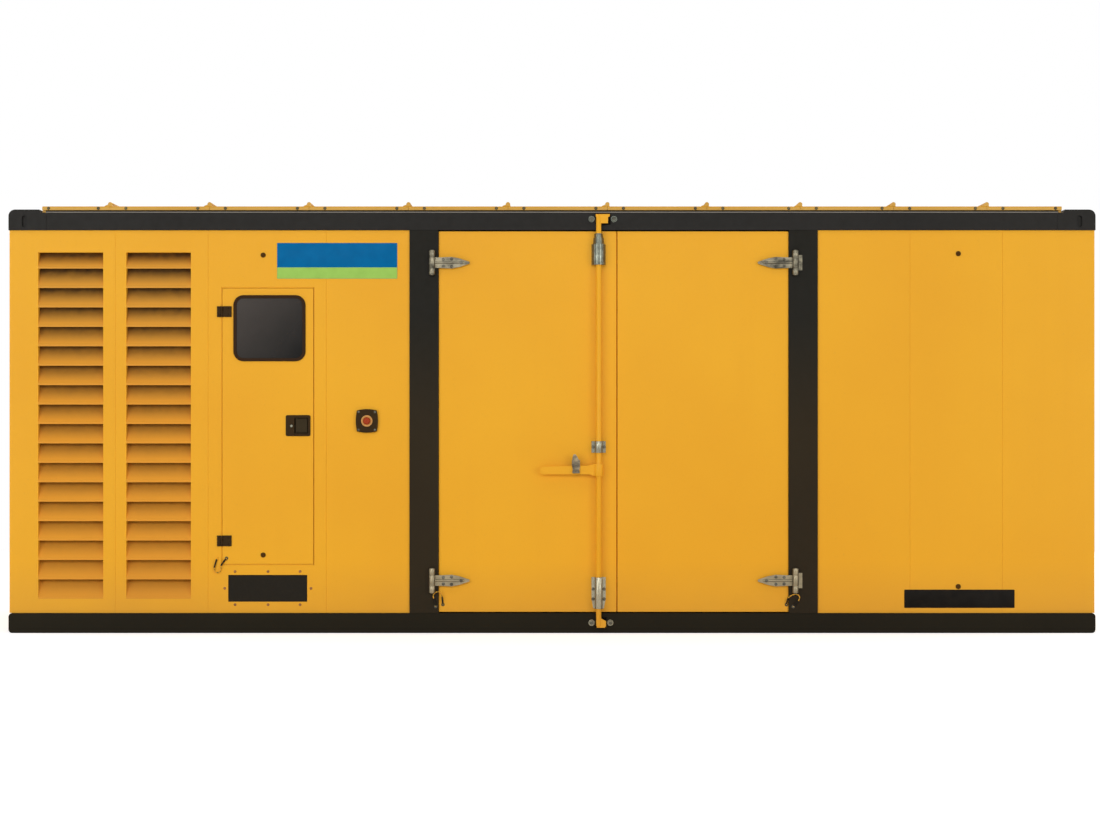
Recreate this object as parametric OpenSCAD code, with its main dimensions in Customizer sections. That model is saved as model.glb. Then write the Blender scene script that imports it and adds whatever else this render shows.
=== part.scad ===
// Enclosed diesel generator: a lined steel enclosure on a low skid, with louvred
// air inlets, a control door and a pair of access doors held by a lock bar.
// X runs along the length, Y from front to rear, Z up; the origin is on the ground at the centre.

/* [Enclosure] */
// Width over the rails, front to rear
body_w = 2200; // [1900:10:2600]
// Height of the skid
base_h = 110; // [104:2:180]
// Height of the wall panels
wall_h = 2112; // [1980:4:2400]
// Thickness of the lined wall panels
wall_t = 80; // [74:2:110]
// How far rails and posts stand proud of the panels
rail_proud = 10; // [7:1:16]
// How far the rails pass the end walls
end_proud = 2; // [2:0.5:16]
// Gap between neighbouring panels
seam = 1; // [0.5:0.5:4]
// Radius of the upright corners of the enclosure
corner_r = 10; // [6:1:40]

/* [Wall bays] */
// Width of the first louvre bay
louvre_bay_1_w = 586; // [540:2:700]
// Width of the second louvre bay
louvre_bay_2_w = 512; // [460:2:640]
// Width of the control bay
control_bay_w = 652; // [620:2:800]
// Width of the bay with the stop button
stop_bay_w = 460; // [300:2:640]
// Width of the door posts
post_w = 160; // [130:2:200]
// Width of the doorway left of the meeting line
left_leaf_w = 984; // [800:2:1100]
// Width of the doorway right of the meeting line
right_leaf_w = 948; // [800:2:1100]
// Width of each plain bay right of the doors
plain_bay_w = 510; // [400:2:640]
// Number of plain bays right of the doors
plain_bays = 3; // [2:1:4]
// Number of panels in each end wall
end_bays = 4; // [3:1:5]

/* [Skid and top frame] */
// Depth of the side rails
rail_d = 100; // [90:2:140]
// Plate thickness of the rails
rail_t = 6; // [4:1:8]
// Rounding of the skid ends
rail_r = 20; // [12:1:30]
// Number of cross members under the floor
cross_n = 5; // [4:1:7]
// Width of each cross member
cross_w = 80; // [60:2:120]
// Height of the top side rails
top_rail_h = 97; // [96:1:130]
// Height of the top end rails
top_end_h = 114; // [110:1:150]
// Width of the top end rails
top_end_w = 170; // [140:2:220]
// Ledge on the top end rails that carries the roof
top_ledge = 40; // [30:1:60]
// Rounding of the top end rails
top_end_r = 36; // [15:1:50]
// Width of the lifting slots in the top end rails
lift_w = 28; // [20:1:40]
// Height of the lifting slots
lift_h = 64; // [50:1:80]
// Lifting slots from the ends of the enclosure
lift_x = 88; // [70:1:110]

/* [Roof] */
// Thickness of the lined roof sheets
roof_t = 35; // [25:1:60]
// Set-back of the roof from the face of the rails
roof_inset = 6; // [3:1:15]
// Gap between the roof and the top end rails
roof_end_gap = 15; // [15:1:28]
// Height of the groove under the roof edge
drip_h = 14; // [8:0.5:18]
// Width of the first roof sheet
roof_first_w = 374; // [260:2:500]
// Width of the wide roof sheets
roof_pitch = 549; // [440:1:640]
// Width of the narrow roof sheets
roof_pitch_2 = 515; // [440:1:640]
// Number of wide roof sheets
wide_sheets = 6; // [2:1:8]
// Height of the standing seams
cap_h = 24; // [18:1:36]
// Radius of the rolled edge of a seam
cap_r = 12; // [8:0.5:12]

/* [Louvres] */
// First louvre from the left edge of its bay
louvre_1_left = 161; // [100:1:180]
// First louvre from the right edge of its bay
louvre_1_right = 67; // [50:1:120]
// Second louvre from the left edge of its bay
louvre_2_left = 61; // [50:1:120]
// Second louvre from the right edge of its bay
louvre_2_right = 95; // [50:1:140]
// Louvres of the right end wall from the edges of their panels
louvre_end_side = 74; // [50:1:120]
// Wall below the louvres
louvre_sill = 78; // [60:1:140]
// Wall above the louvres
louvre_head = 122; // [80:1:180]
// Blades in each louvre
blade_n = 18; // [12:1:22]
// Sheet thickness of the blades
blade_t = 3; // [2:0.5:5]
// Depth of the blades
blade_d = 54; // [40:1:64]
// Height of the upright lip of a blade
blade_lip = 10; // [6:1:16]
// Height by which a blade passes behind the next one
blade_lap = 12; // [6:1:20]
// Height by which the top blade is cut short by the wall
blade_cut = 18; // [0:1:30]

/* [Access doors] */
// Thickness of a door leaf
leaf_t = 50; // [40:1:55]
// Gap round a leaf
door_gap = 6; // [5:0.5:8]
// Gap where the leaves meet
meet_gap = 6; // [5:0.5:10]
// Bevel on the inner edge where the leaves meet
leaf_bevel = 24; // [16:1:30]
// Width of the stop bars behind the leaves
stop_w = 30; // [20:1:50]

/* [Door hinges] */
// Hinge centre from the end of the doorway
hinge_inset = 180; // [140:2:300]
// Hinge pin outside the edge of the doorway
pin_x = 35; // [30:1:45]
// Gap between the hinge barrel and the rail face
barrel_gap = 3; // [2:0.5:6]
// Radius of the hinge pin
pin_r = 8; // [6:0.5:10]
// Radius of the hinge barrel
barrel_r = 17; // [15:0.5:18]
// Height of the whole hinge barrel
barrel_h = 132; // [110:1:180]
// Height of a strap at the barrel
strap_h = 58; // [44:1:64]
// Length of a strap from pin to tip
strap_l = 206; // [170:2:280]
// Thickness of a strap
strap_t = 8; // [6:0.5:10]
// Width of the butt plate on the right hinges
butt_w = 22; // [16:1:40]
// Radial clearance of pins and bars in their bores
fit = 0.1; // [0.05:0.05:0.3]

/* [Lock bar] */
// Radius of the bar
bar_r = 14; // [12:0.5:16]
// Bar axis from the meeting line of the leaves
bar_x = 101; // [80:1:140]
// Gap between the bar and the rail face
bar_gap = 12; // [10:0.5:18]
// Reach of the upper cam
top_reach = 61; // [50:1:64]
// Reach of the lower cam
foot_reach = 40; // [30:1:56]
// Height of a cam
cam_h = 50; // [40:1:52]
// Thickness of a cam
cam_t = 16; // [12:1:20]
// Height of the upper and lower guides
guide_h = 172; // [120:2:220]
// Width of a guide
guide_w = 78; // [70:1:100]
// Upper and lower guides from the ends of the leaf
guide_inset = 20; // [12:1:60]
// Height of the handle above the foot of the leaf
handle_z = 790; // [500:5:1100]
// Length of the handle from the bar axis
handle_l = 323; // [240:2:400]
// Height of the handle bar
handle_h = 48; // [40:1:62]
// Thickness of the handle bar
handle_t = 10; // [6:1:14]

/* [Control door] */
// Wall left of the control door
control_left_side = 79; // [60:1:110]
// Wall right of the control door
control_right_side = 71; // [50:1:110]
// Wall below the control door
control_sill = 270; // [240:2:360]
// Wall above the control door
control_head = 321; // [200:1:420]
// Thickness of the control door
control_t = 30; // [28:1:40]
// Gap round the control door
control_gap = 6; // [5:0.5:8]
// Thickness of the rim of the control door
control_rim = 10; // [6:1:12]
// Width of the ledge behind the rim
control_ledge = 18; // [14:1:22]
// Window from the left edge of the control door
window_left_side = 61; // [58:1:90]
// Window from the right edge of the control door
window_right_side = 43; // [30:1:90]
// Height of the window with its gasket
window_h = 365; // [300:2:420]
// Window below the top of the control door
window_drop = 37; // [30:1:120]
// Corner radius of the window
window_r = 55; // [30:1:80]
// Width of the gasket
gasket_w = 17; // [14:0.5:24]
// Height of the gasket above the door
gasket_t = 7; // [5:0.5:9]
// Thickness of the glass
glass_t = 6; // [4:0.5:8]
// Height of a control door hinge
plate_h = 60; // [50:1:80]
// Hinge centre from the end of the control door
plate_inset = 128; // [90:1:200]

/* [Latch] */
// Width of the latch
latch_w = 136; // [130:1:150]
// Height of the latch
latch_h = 116; // [104:1:130]
// Latch from the right edge of the control door
latch_x = 16; // [12:1:40]
// Latch centre below the window
latch_drop = 355; // [200:1:500]
// Depth of the latch tub
tub_d = 22; // [20:0.5:24]

/* [Stop button] */
// Width of the stop button housing
stop_box_w = 122; // [110:1:150]
// Height of the stop button housing
stop_box_h = 130; // [110:1:150]
// Thickness of the stop button housing
stop_box_t = 16; // [12:1:18]
// Button centre to the left of the middle of its bay
stop_shift = 5; // [0:1:20]
// Button centre above the foot of the wall
stop_z = 1060; // [800:5:1400]
// Radius of the button head
stop_r = 20; // [16:1:24]
// Travel of the button
stop_travel = 6; // [4:1:7]

/* [Cable entry] */
// Cable entry from the left edge of the control door
cable_left_side = 32; // [28:1:80]
// Cable entry from the right edge of the control door
cable_right_side = 34; // [28:1:80]
// Height of the cable entry
cable_h = 148; // [100:2:160]
// Cable entry above the foot of the wall
cable_sill = 62; // [50:1:70]
// Thickness of the rubber sheet
cable_t = 5; // [4:0.5:8]

/* [Control cabinet] */
// Depth of the control cabinet behind the wall
cabinet_d = 290; // [200:5:400]
// Wall thickness of the control cabinet
cabinet_t = 20; // [12:1:22]

/* [View] */
// Piece to draw

/* [Hidden] */
$fn = 48;
arc_n = 6;

// Colours
yellow = [0.92, 0.66, 0.16];
black = [0.13, 0.13, 0.13];
zinc = [0.62, 0.60, 0.55];
rubber = [0.08, 0.08, 0.08];

// Lengths and heights of the enclosure
panel_l = louvre_bay_1_w + louvre_bay_2_w + control_bay_w + stop_bay_w + 2 * post_w
    + left_leaf_w + right_leaf_w + plain_bays * plain_bay_w;
rail_l = panel_l + 2 * end_proud;
rail_face = body_w / 2;
panel_face = rail_face - rail_proud;
wall_in = panel_face - wall_t;
wall_top = base_h + wall_h;
roof_z = wall_top + top_rail_h;

// Edges of the wall bays
x_left = -panel_l / 2;
x_bay_2 = x_left + louvre_bay_1_w;
x_control = x_bay_2 + louvre_bay_2_w;
x_stop = x_control + control_bay_w;
x_post_1 = x_stop + stop_bay_w;
x_door = x_post_1 + post_w;
x_meet = x_door + left_leaf_w;
x_post_2 = x_meet + right_leaf_w;
x_plain = x_post_2 + post_w;
x_right = panel_l / 2;
end_w = 2 * wall_in / end_bays;

// Roof
top_rail_l = rail_l - 2 * (top_end_w + top_ledge);
roof_l = rail_l - 2 * (top_end_w + roof_end_gap);
roof_w = body_w - 2 * roof_inset;
wide_end = roof_first_w + wide_sheets * roof_pitch;
seam_run = concat([for (i = [0:wide_sheets]) roof_first_w + i * roof_pitch],
    [for (i = [1:9]) wide_end + i * roof_pitch_2]);
seam_x = [for (s = seam_run) if (s < roof_l - 100) s - roof_l / 2];
seam_n = len(seam_x);
roof_edge = concat([-roof_l / 2 - seam / 2], seam_x, [roof_l / 2 + seam / 2]);

// Louvres
louvre_z = base_h + louvre_sill;
louvre_h = wall_h - louvre_sill - louvre_head;
blade_p = (louvre_h + blade_cut) / blade_n;
louvre_x = [x_left + louvre_1_left, x_bay_2 + louvre_2_left];
louvre_w = [louvre_bay_1_w - louvre_1_left - louvre_1_right, louvre_bay_2_w - louvre_2_left - louvre_2_right];
louvre_end_w = end_w - 2 * louvre_end_side;
louvre_end_y = [for (i = [0:end_bays - 1]) -wall_in + i * end_w + louvre_end_side];

// Access doors
leaf_z = base_h + door_gap;
leaf_h = wall_h - 2 * door_gap;
leaf_face = panel_face;
stop_t = wall_t - leaf_t - door_gap;
hinge_z = [base_h + hinge_inset, wall_top - hinge_inset];
pin_y = barrel_r + barrel_gap;
pin_face = rail_face + pin_y;
lug_z = strap_h / 2 + 1;
strap_back = pin_y - 2;
strap_front = strap_back - strap_t;
pad_t = rail_proud + 2;

// Lock bar
axis_x = x_meet - bar_x;
bar_y = bar_r + bar_gap;
axis_y = rail_face + bar_y;
bar_wall = bar_y + rail_proud;
top_cam_z = wall_top + top_rail_h - rail_t - 5 - cam_h;
foot_cam_z = (base_h - cam_h) / 2 + 2;
slot_left = cam_t / 2 + 8;
handle_top = base_h + handle_z;
hub_r = bar_r + 9;
hub_h = handle_h + 20;
guide_top_z = wall_top - guide_inset - guide_h;
guide_foot_z = base_h + guide_inset + door_gap;
guide_mid_h = 63;
guide_mid_z = handle_top + 95;
sleeve_r = bar_r + 7;
catch_x = 125;

// Control door
control_left = x_control + control_left_side;
control_z = base_h + control_sill;
control_w = control_bay_w - control_left_side - control_right_side;
control_h = wall_h - control_sill - control_head;
control_pin_x = control_left - control_gap / 2;
window_left = control_left + window_left_side;
window_w = control_w - window_left_side - window_right_side;
window_z = control_z + control_h - window_drop - window_h;
gasket_cover = gasket_w / 2;
plate_z = [control_z + plate_inset, control_z + control_h - plate_inset];
plate_pin = 7;
latch_right = control_left + control_w - latch_x;
latch_left = latch_right - latch_w;
latch_mid = window_z - latch_drop;
tub_w = latch_w * 0.6;
tub_h = latch_h - 24;
tub_left = latch_right - tub_w - 10;
tub_t = 3;
paddle_pin = 3;
paddle_x = tub_left + tub_t + 9;
cable_left = control_left + cable_left_side;
cable_w = control_w - cable_left_side - cable_right_side;
cable_z = base_h + cable_sill;
stop_mid = [x_stop + stop_bay_w / 2 - stop_shift, base_h + stop_z];
stem_r = 11;

// Outline helpers
function arc(c, r, a) = [for (i = [0:arc_n]) c + r * [cos(a + 90 * i / arc_n), sin(a + 90 * i / arc_n)]];
function corner(p, s, r, a) = r > 0 ? arc(p + r * s, r, a) : [p];
function soft_rect(x, y, w, h, r) = concat(
    corner([x, y], [1, 1], r[0], 180),
    corner([x + w, y], [-1, 1], r[1], 270),
    corner([x + w, y + h], [-1, -1], r[2], 0),
    corner([x, y + h], [1, -1], r[3], 90));
function round_rect(x, y, w, h, r) = soft_rect(x, y, w, h, [r, r, r, r]);
function bowed(w, h, b, n) = concat(
    [for (i = [0:n - 1]) let (t = 2 * i / n - 1) [t * (w / 2 - b), -h / 2 + b * t * t]],
    [for (i = [0:n - 1]) let (t = 2 * i / n - 1) [w / 2 - b * t * t, t * (h / 2 - b)]],
    [for (i = [0:n - 1]) let (t = 2 * i / n - 1) [-t * (w / 2 - b), h / 2 - b * t * t]],
    [for (i = [0:n - 1]) let (t = 2 * i / n - 1) [-w / 2 + b * t * t, -t * (h / 2 - b)]]);

function half_oval(w, d) = [for (i = [0:3 * arc_n])
    [w * cos(60 * i / arc_n), bar_wall - d * sin(60 * i / arc_n)]];

// Extrudes an upright outline from y to y + t
module facing(y, t) {
    translate([0, y + t, 0]) rotate([90, 0, 0]) linear_extrude(t) children();
}

// Puts a copy of a front piece on the rear
module rear() {
    mirror([0, 1, 0]) children();
}

// Wall panel of the front wall, with rounded outer edges where asked
module panel(x, w, r) {
    translate([0, 0, base_h]) linear_extrude(wall_h)
        polygon(soft_rect(x + seam / 2, -panel_face, w - seam, wall_t, r));
}

// Wall panel of the left end wall
module end_panel(i) {
    translate([x_left, -wall_in + i * end_w + (i > 0 ? seam / 2 : 0), base_h])
        cube([wall_t, end_w - (i > 0 ? seam / 2 : 0) - (i < end_bays - 1 ? seam / 2 : 0), wall_h]);
}

// Bank of louvre blades behind the plane y = 0
module louvre_bank(w) {
    for (i = [0:blade_n - 1])
        translate([0, 0, louvre_z + i * blade_p]) rotate([90, 0, 90]) linear_extrude(w)
            polygon(let (top = blade_p + (i < blade_n - 1 ? blade_lap : -blade_cut)) [
                [0, 0], [blade_t, 0], [blade_t, blade_lip], [blade_d + blade_t, top],
                [blade_d, top], [0, blade_lip]]);
}

// Side rail as a channel with its web outward and slots for a cam
module side_rail(l, flange_l, h, r, reach, cam_z) {
    difference() {
        union() {
            facing(-rail_face, rail_t) polygon(round_rect(-l / 2, 0, l, h, r));
            for (z = [0, h - rail_t])
                translate([-flange_l / 2, -rail_face, z]) cube([flange_l, rail_d, rail_t]);
        }
        translate([axis_x - slot_left, -rail_face - 1, cam_z - 5])
            cube([slot_left + reach + 4, rail_t + 2, cam_h + 10]);
    }
}

module base_side_rails() {
    color(black) for (s = [0, 1]) mirror([0, s, 0])
        side_rail(rail_l, rail_l - 2 * rail_d, base_h, rail_r, foot_reach, foot_cam_z);
}

module base_end_rails() {
    inner_r = rail_r - rail_t;
    color(black) for (s = [0, 1]) mirror([s, 0, 0])
        facing(-rail_face + rail_t, body_w - 2 * rail_t) difference() {
            polygon(soft_rect(-rail_l / 2, 0, rail_d, base_h, [rail_r, 0, 0, rail_r]));
            polygon(soft_rect(-rail_l / 2 + rail_t, rail_t, rail_d, base_h - 2 * rail_t,
                [inner_r, 0, 0, inner_r]));
        }
}

module base_cross_members() {
    span = rail_l - 2 * rail_d - 1000;
    color(black) for (i = [0:cross_n - 1])
        translate([-span / 2 + span * i / (cross_n - 1) - cross_w / 2, -rail_face + rail_t, rail_t])
            cube([cross_w, body_w - 2 * rail_t, base_h - 2 * rail_t]);
}

module floor_deck() {
    color([0.30, 0.30, 0.31]) translate([-rail_l / 2 + rail_d, -rail_face + rail_d, base_h - rail_t])
        cube([rail_l - 2 * rail_d, body_w - 2 * rail_d, rail_t]);
}

module top_side_rails() {
    color(black) for (s = [0, 1]) mirror([0, s, 0]) translate([0, 0, wall_top])
        side_rail(top_rail_l, top_rail_l, top_rail_h, 0, top_reach, top_cam_z - wall_top);
}

module top_end_rails() {
    outline = concat(
        [[0, 0], [top_end_w + top_ledge, 0], [top_end_w + top_ledge, top_rail_h]],
        [[top_end_w + 6, top_rail_h], [top_end_w, top_end_h]],
        corner([0, top_end_h], [1, -1], top_end_r, 90));
    depth = 14;
    color(black) for (s = [0, 1]) mirror([s, 0, 0])
        translate([-rail_l / 2, 0, wall_top]) difference() {
            facing(-rail_face, body_w) polygon(outline);
            for (y = [-rail_face - 1, rail_face - depth]) facing(y, depth + 1)
                polygon(round_rect(lift_x - lift_w / 2, (top_rail_h - lift_h) / 2, lift_w, lift_h,
                    lift_w / 2 - 1));
        }
}

module roof_sheets() {
    edge = 6;
    w = roof_w / 2;
    groove = w - 14;
    color(yellow) for (i = [0:seam_n])
        translate([roof_edge[i] + seam / 2, 0, roof_z]) rotate([90, 0, 90])
            linear_extrude(roof_edge[i + 1] - roof_edge[i] - seam)
                polygon([[-groove, 0], [groove, 0], [groove, drip_h], [w, drip_h], [w, roof_t - edge],
                    [w - edge, roof_t], [-w + edge, roof_t], [-w, roof_t - edge], [-w, drip_h],
                    [-groove, drip_h]]);
}

module roof_seam_caps() {
    color(yellow) for (x = seam_x)
        translate([x, 0, roof_z + roof_t]) facing(-roof_w / 2 + 6, roof_w - 12) {
            polygon([[-30, 0], [12, 0], [12, 3], [8, cap_h - cap_r], [-8, cap_h - cap_r], [-30, 3]]);
            translate([0, cap_h - cap_r]) circle(cap_r);
        }
}

module front_posts() {
    color(black) for (x = [x_post_1, x_post_2])
        translate([x, -rail_face, base_h]) cube([post_w, wall_t + rail_proud, wall_h]);
}

module rear_posts() {
    rear() front_posts();
}

module front_door_stops() {
    y = -wall_in - stop_t;
    color(black) {
        for (x = [x_door, x_post_2 - stop_w])
            translate([x, y, base_h]) cube([stop_w, stop_t, wall_h]);
        for (z = [base_h, wall_top - stop_w])
            translate([x_door + stop_w + seam, y, z])
                cube([x_post_2 - x_door - 2 * (stop_w + seam), stop_t, stop_w]);
    }
}

module louvre_panels() {
    difference() {
        union() {
            panel(x_left - seam / 2, louvre_bay_1_w + seam / 2, [corner_r, 0, 0, 0]);
            panel(x_bay_2, louvre_bay_2_w, [0, 0, 0, 0]);
        }
        for (i = [0, 1])
            translate([louvre_x[i], -panel_face - 1, louvre_z]) cube([louvre_w[i], wall_t + 2, louvre_h]);
    }
}

module plain_panels() {
    for (i = [0:plain_bays - 1])
        panel(x_plain + i * plain_bay_w, plain_bay_w + (i == plain_bays - 1 ? seam / 2 : 0),
            [0, i == plain_bays - 1 ? corner_r : 0, 0, 0]);
}

module long_louvre_blades() {
    for (i = [0, 1])
        translate([louvre_x[i], -panel_face, 0]) louvre_bank(louvre_w[i]);
}

module front_louvre_panels() {
    color(yellow) louvre_panels();
}

module front_louvre_blades() {
    color(yellow) long_louvre_blades();
}

// Block inside the outline of the control door, behind the face of the wall
module control_block(inset, y, t) {
    translate([control_left + inset, -panel_face + y, control_z + inset])
        cube([control_w - 2 * inset, t, control_h - 2 * inset]);
}

module control_bay_panel() {
    color(yellow) difference() {
        panel(x_control, control_bay_w, [0, 0, 0, 0]);
        control_block(-control_gap, -1, control_rim + control_gap + 1);
        control_block(control_ledge - control_gap, 0, wall_t + 1);
        translate([cable_left, -panel_face - 1, cable_z]) cube([cable_w, wall_t + 2, cable_h]);
    }
}

module stop_bay_panel() {
    color(yellow) panel(x_stop, stop_bay_w, [0, 0, 0, 0]);
}

module front_plain_panels() {
    color(yellow) plain_panels();
}

module rear_louvre_panels() {
    color(yellow) rear() louvre_panels();
}

module rear_panels() {
    color(yellow) rear() {
        panel(x_control, control_bay_w, [0, 0, 0, 0]);
        panel(x_stop, stop_bay_w, [0, 0, 0, 0]);
        plain_panels();
    }
}

module rear_louvre_blades() {
    color(yellow) rear() long_louvre_blades();
}

module left_end_panels() {
    color(yellow) for (i = [0:end_bays - 1]) end_panel(i);
}

module right_end_panels() {
    color(yellow) mirror([1, 0, 0]) difference() {
        for (i = [0:end_bays - 1]) end_panel(i);
        for (y = louvre_end_y)
            translate([x_left - 1, y, louvre_z]) cube([wall_t + 2, louvre_end_w, louvre_h]);
    }
}

module right_end_louvre_blades() {
    color(yellow) for (y = louvre_end_y)
        translate([x_right, y, 0]) rotate([0, 0, 90]) louvre_bank(louvre_end_w);
}

// Door leaf between two X positions, bevelled inside where the leaves meet
module leaf(x0, x1, bevel_0, bevel_1) {
    back = -leaf_face + leaf_t;
    translate([0, 0, leaf_z]) linear_extrude(leaf_h)
        polygon([[x0, -leaf_face], [x1, -leaf_face], [x1, back - bevel_1], [x1 - bevel_1, back],
            [x0 + bevel_0, back], [x0, back - bevel_0]]);
}

module left_leaf() {
    leaf(x_door + door_gap, x_meet - meet_gap / 2, 3, leaf_bevel);
}

module right_leaf() {
    leaf(x_meet + meet_gap / 2, x_post_2 - door_gap, leaf_bevel, 3);
}

module rear_door_leaves() {
    color(yellow) rear() {
        left_leaf();
        right_leaf();
    }
}

// Hinge parts about a pin at the origin, with the door on the +X side
module hinge_fork(butt) {
    lug_h = barrel_h / 2 - lug_z;
    foot_w = barrel_r - 2;
    plate_t = 6;
    cylinder(r = pin_r, h = barrel_h, center = true);
    for (m = [0, 1]) mirror([0, 0, m]) translate([0, 0, lug_z]) {
        cylinder(r = barrel_r, h = lug_h);
        translate([-foot_w, 0, 0]) cube([2 * foot_w, pin_y, lug_h]);
        if (butt > 0)
            translate([-barrel_r - butt, pin_y - plate_t, 0]) cube([barrel_r + butt, plate_t, 12]);
    }
    if (butt > 0)
        translate([-barrel_r - butt, pin_y - plate_t, -lug_z]) cube([butt - 2, plate_t, 2 * lug_z]);
}

module hinge_strap() {
    half = strap_h / 2;
    wide = half + 3;
    pad_x = pin_x + door_gap + 4;
    difference() {
        union() {
            cylinder(r = barrel_r, h = strap_h, center = true);
            facing(strap_front, strap_t)
                polygon([[0, -half], [pad_x, -half], [strap_l * 0.52, -wide], [strap_l * 0.72, -wide + 8],
                    [strap_l, -5], [strap_l, 5], [strap_l * 0.72, wide - 8], [strap_l * 0.52, wide],
                    [pad_x, half], [0, half]]);
            facing(strap_back, pad_t)
                polygon([[pad_x, -half + 3], [strap_l * 0.52, -wide + 3], [strap_l * 0.72, -wide + 11],
                    [strap_l * 0.72, wide - 11], [strap_l * 0.52, wide - 3], [pad_x, half - 3]]);
            translate([barrel_r / 2, strap_front, 0]) rotate([0, 90, 0])
                cylinder(r = 6, h = strap_l - 30 - barrel_r / 2);
        }
        cylinder(r = pin_r + fit, h = strap_h + 2, center = true);
    }
}

// Places children at both hinges of a leaf, turned for the side
module at_hinges(left) {
    for (z = hinge_z)
        translate([left ? x_door - pin_x : x_post_2 + pin_x, -pin_face, z])
            mirror([left ? 0 : 1, 0, 0]) children();
}

module left_door_straps() {
    color(zinc) at_hinges(true) hinge_strap();
}

module right_door_straps() {
    color(zinc) at_hinges(false) hinge_strap();
}

module front_hinge_forks() {
    color(zinc) {
        at_hinges(true) hinge_fork(0);
        at_hinges(false) hinge_fork(butt_w);
    }
}

module rear_door_hinges() {
    rear() {
        left_door_straps();
        right_door_straps();
        front_hinge_forks();
    }
}

// Lock bar parts about the bar axis
module at_bar() {
    translate([axis_x, -axis_y, 0]) children();
}

module lock_bar() {
    color(yellow) at_bar() {
        translate([0, 0, foot_cam_z + 10]) cylinder(r = bar_r, h = top_cam_z + cam_h - 14 - foot_cam_z);
        facing(-cam_t / 2, cam_t) translate([0, top_cam_z])
            polygon([[-8, 0], [top_reach - 10, 0], [top_reach - 10, cam_h - 16], [top_reach, cam_h - 12],
                [top_reach, cam_h], [-bar_r - 2, cam_h], [-bar_r - 2, cam_h - 12], [-8, cam_h - 16]]);
        facing(-cam_t / 2, cam_t) translate([0, foot_cam_z])
            polygon([[-bar_r - 1, cam_h - 12], [-10, 0], [foot_reach - 8, 0], [foot_reach, 8],
                [foot_reach, cam_h - 14], [bar_r, cam_h]]);
        translate([0, 0, handle_top - hub_h / 2]) cylinder(r = hub_r, h = hub_h);
        facing(-handle_t / 2, handle_t) translate([0, handle_top])
            polygon([[0, -hub_h / 2 + 2], [0, hub_h / 2 - 2], [-hub_r - 4, hub_h / 2 - 2],
                [-hub_r - 34, handle_h / 2], [-handle_l + 12, handle_h / 2 - 6], [-handle_l, handle_h / 2 - 16],
                [-handle_l, -handle_h / 2 + 10], [-handle_l + 10, -handle_h / 2],
                [-hub_r - 34, -handle_h / 2], [-hub_r - 4, -hub_h / 2 + 2]]);
    }
}

// Guide that holds the bar to the leaf, with its taper at the top
module bar_guide(h, taper) {
    w = guide_w / 2;
    plate_t = 6;
    difference() {
        union() {
            facing(bar_wall - plate_t, plate_t)
                polygon([[-w, 0], [w, 0], [w, h - taper], [w - 10, h], [-w + 10, h], [-w, h - taper]]);
            cylinder(r = sleeve_r, h = h);
            translate([-sleeve_r + 3, 0, 0]) cube([2 * sleeve_r - 6, bar_wall, h]);
        }
        translate([0, 0, -1]) cylinder(r = bar_r + fit, h = h + 2);
    }
}

// Upper guide: a rounded body with a narrower neck
module bell_guide(h) {
    difference() {
        for (part = [[0, 0.66, 0.5, 0], [0.66, 0.2, 0.38, 2], [0.86, 0.14, 0.31, 5]])
            translate([0, 0, h * part[0]]) linear_extrude(h * part[1])
                polygon(half_oval(guide_w * part[2], bar_wall + sleeve_r - part[3]));
        translate([0, 0, -1]) cylinder(r = bar_r + fit, h = h + 2);
    }
}

module lock_guides() {
    at_bar() {
        translate([0, 0, guide_top_z]) bell_guide(guide_h);
        translate([0, 0, guide_mid_z]) bar_guide(guide_mid_h, 0);
        translate([0, 0, guide_foot_z + guide_h]) mirror([0, 0, 1]) bar_guide(guide_h, 50);
    }
    translate([axis_x - catch_x, -axis_y, handle_top]) {
        facing(bar_wall - 6, 6) polygon(round_rect(-22, -handle_h / 2 + 2, 44, handle_h / 2 + 54, 6));
        translate([-20, handle_t / 2 + 5, -handle_h / 2 + 6])
            cube([40, bar_wall - handle_t / 2 - 5, handle_h - 12]);
    }
}

module lock_bar_guides() {
    color(zinc) lock_guides();
}

module handle_catch() {
    edge = handle_h / 2 + 2;
    color(zinc) translate([axis_x - catch_x, -axis_y - handle_t / 2, handle_top]) {
        facing(-8, 8)
            polygon([[-15, -edge + 10], [17, -edge + 10], [18, 0], [22, edge - 6], [21, edge + 14], [8, edge + 46],
                [-2, edge + 60], [-14, edge + 60], [-19, edge + 42], [-22, edge]]);
        facing(-13, 13) polygon(round_rect(-20, -edge + 8, 40, 15, 3));
    }
}

// Pair of keeper lugs on a rail, either side of a cam
module keeper_pair(reach, z) {
    r = 17;
    at_bar() for (x = [-bar_r - 8 - r, reach + 7 + r])
        translate([x, bar_y, z + cam_h / 2]) rotate([90, 0, 0]) {
            cylinder(r = r, h = 5);
            translate([0, 0, 5]) cylinder(r1 = r - 2, r2 = r - 5, h = 12);
        }
}

module lock_keepers() {
    keeper_pair(top_reach, top_cam_z);
    keeper_pair(foot_reach, foot_cam_z);
}

module front_lock_keepers() {
    color(zinc) lock_keepers();
}

module rear_lock_bar() {
    rear() lock_bar();
}

module rear_lock_fittings() {
    color(zinc) rear() {
        lock_guides();
        lock_keepers();
        handle_catch();
    }
}

module left_door_leaf() {
    color(yellow) left_leaf();
}

module right_door_leaf() {
    color(yellow) right_leaf();
}

// Control door parts
module control_cabinet() {
    w = control_w + 2 * control_gap;
    h = control_h + 2 * control_gap;
    x = control_left - control_gap;
    z = control_z - control_gap;
    color([0.75, 0.75, 0.74]) difference() {
        translate([x - cabinet_t, -wall_in, z - cabinet_t]) cube([w + 2 * cabinet_t, cabinet_d, h + 2 * cabinet_t]);
        translate([x, -wall_in - 1, z]) cube([w, cabinet_d - cabinet_t + 1, h]);
    }
}

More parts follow.
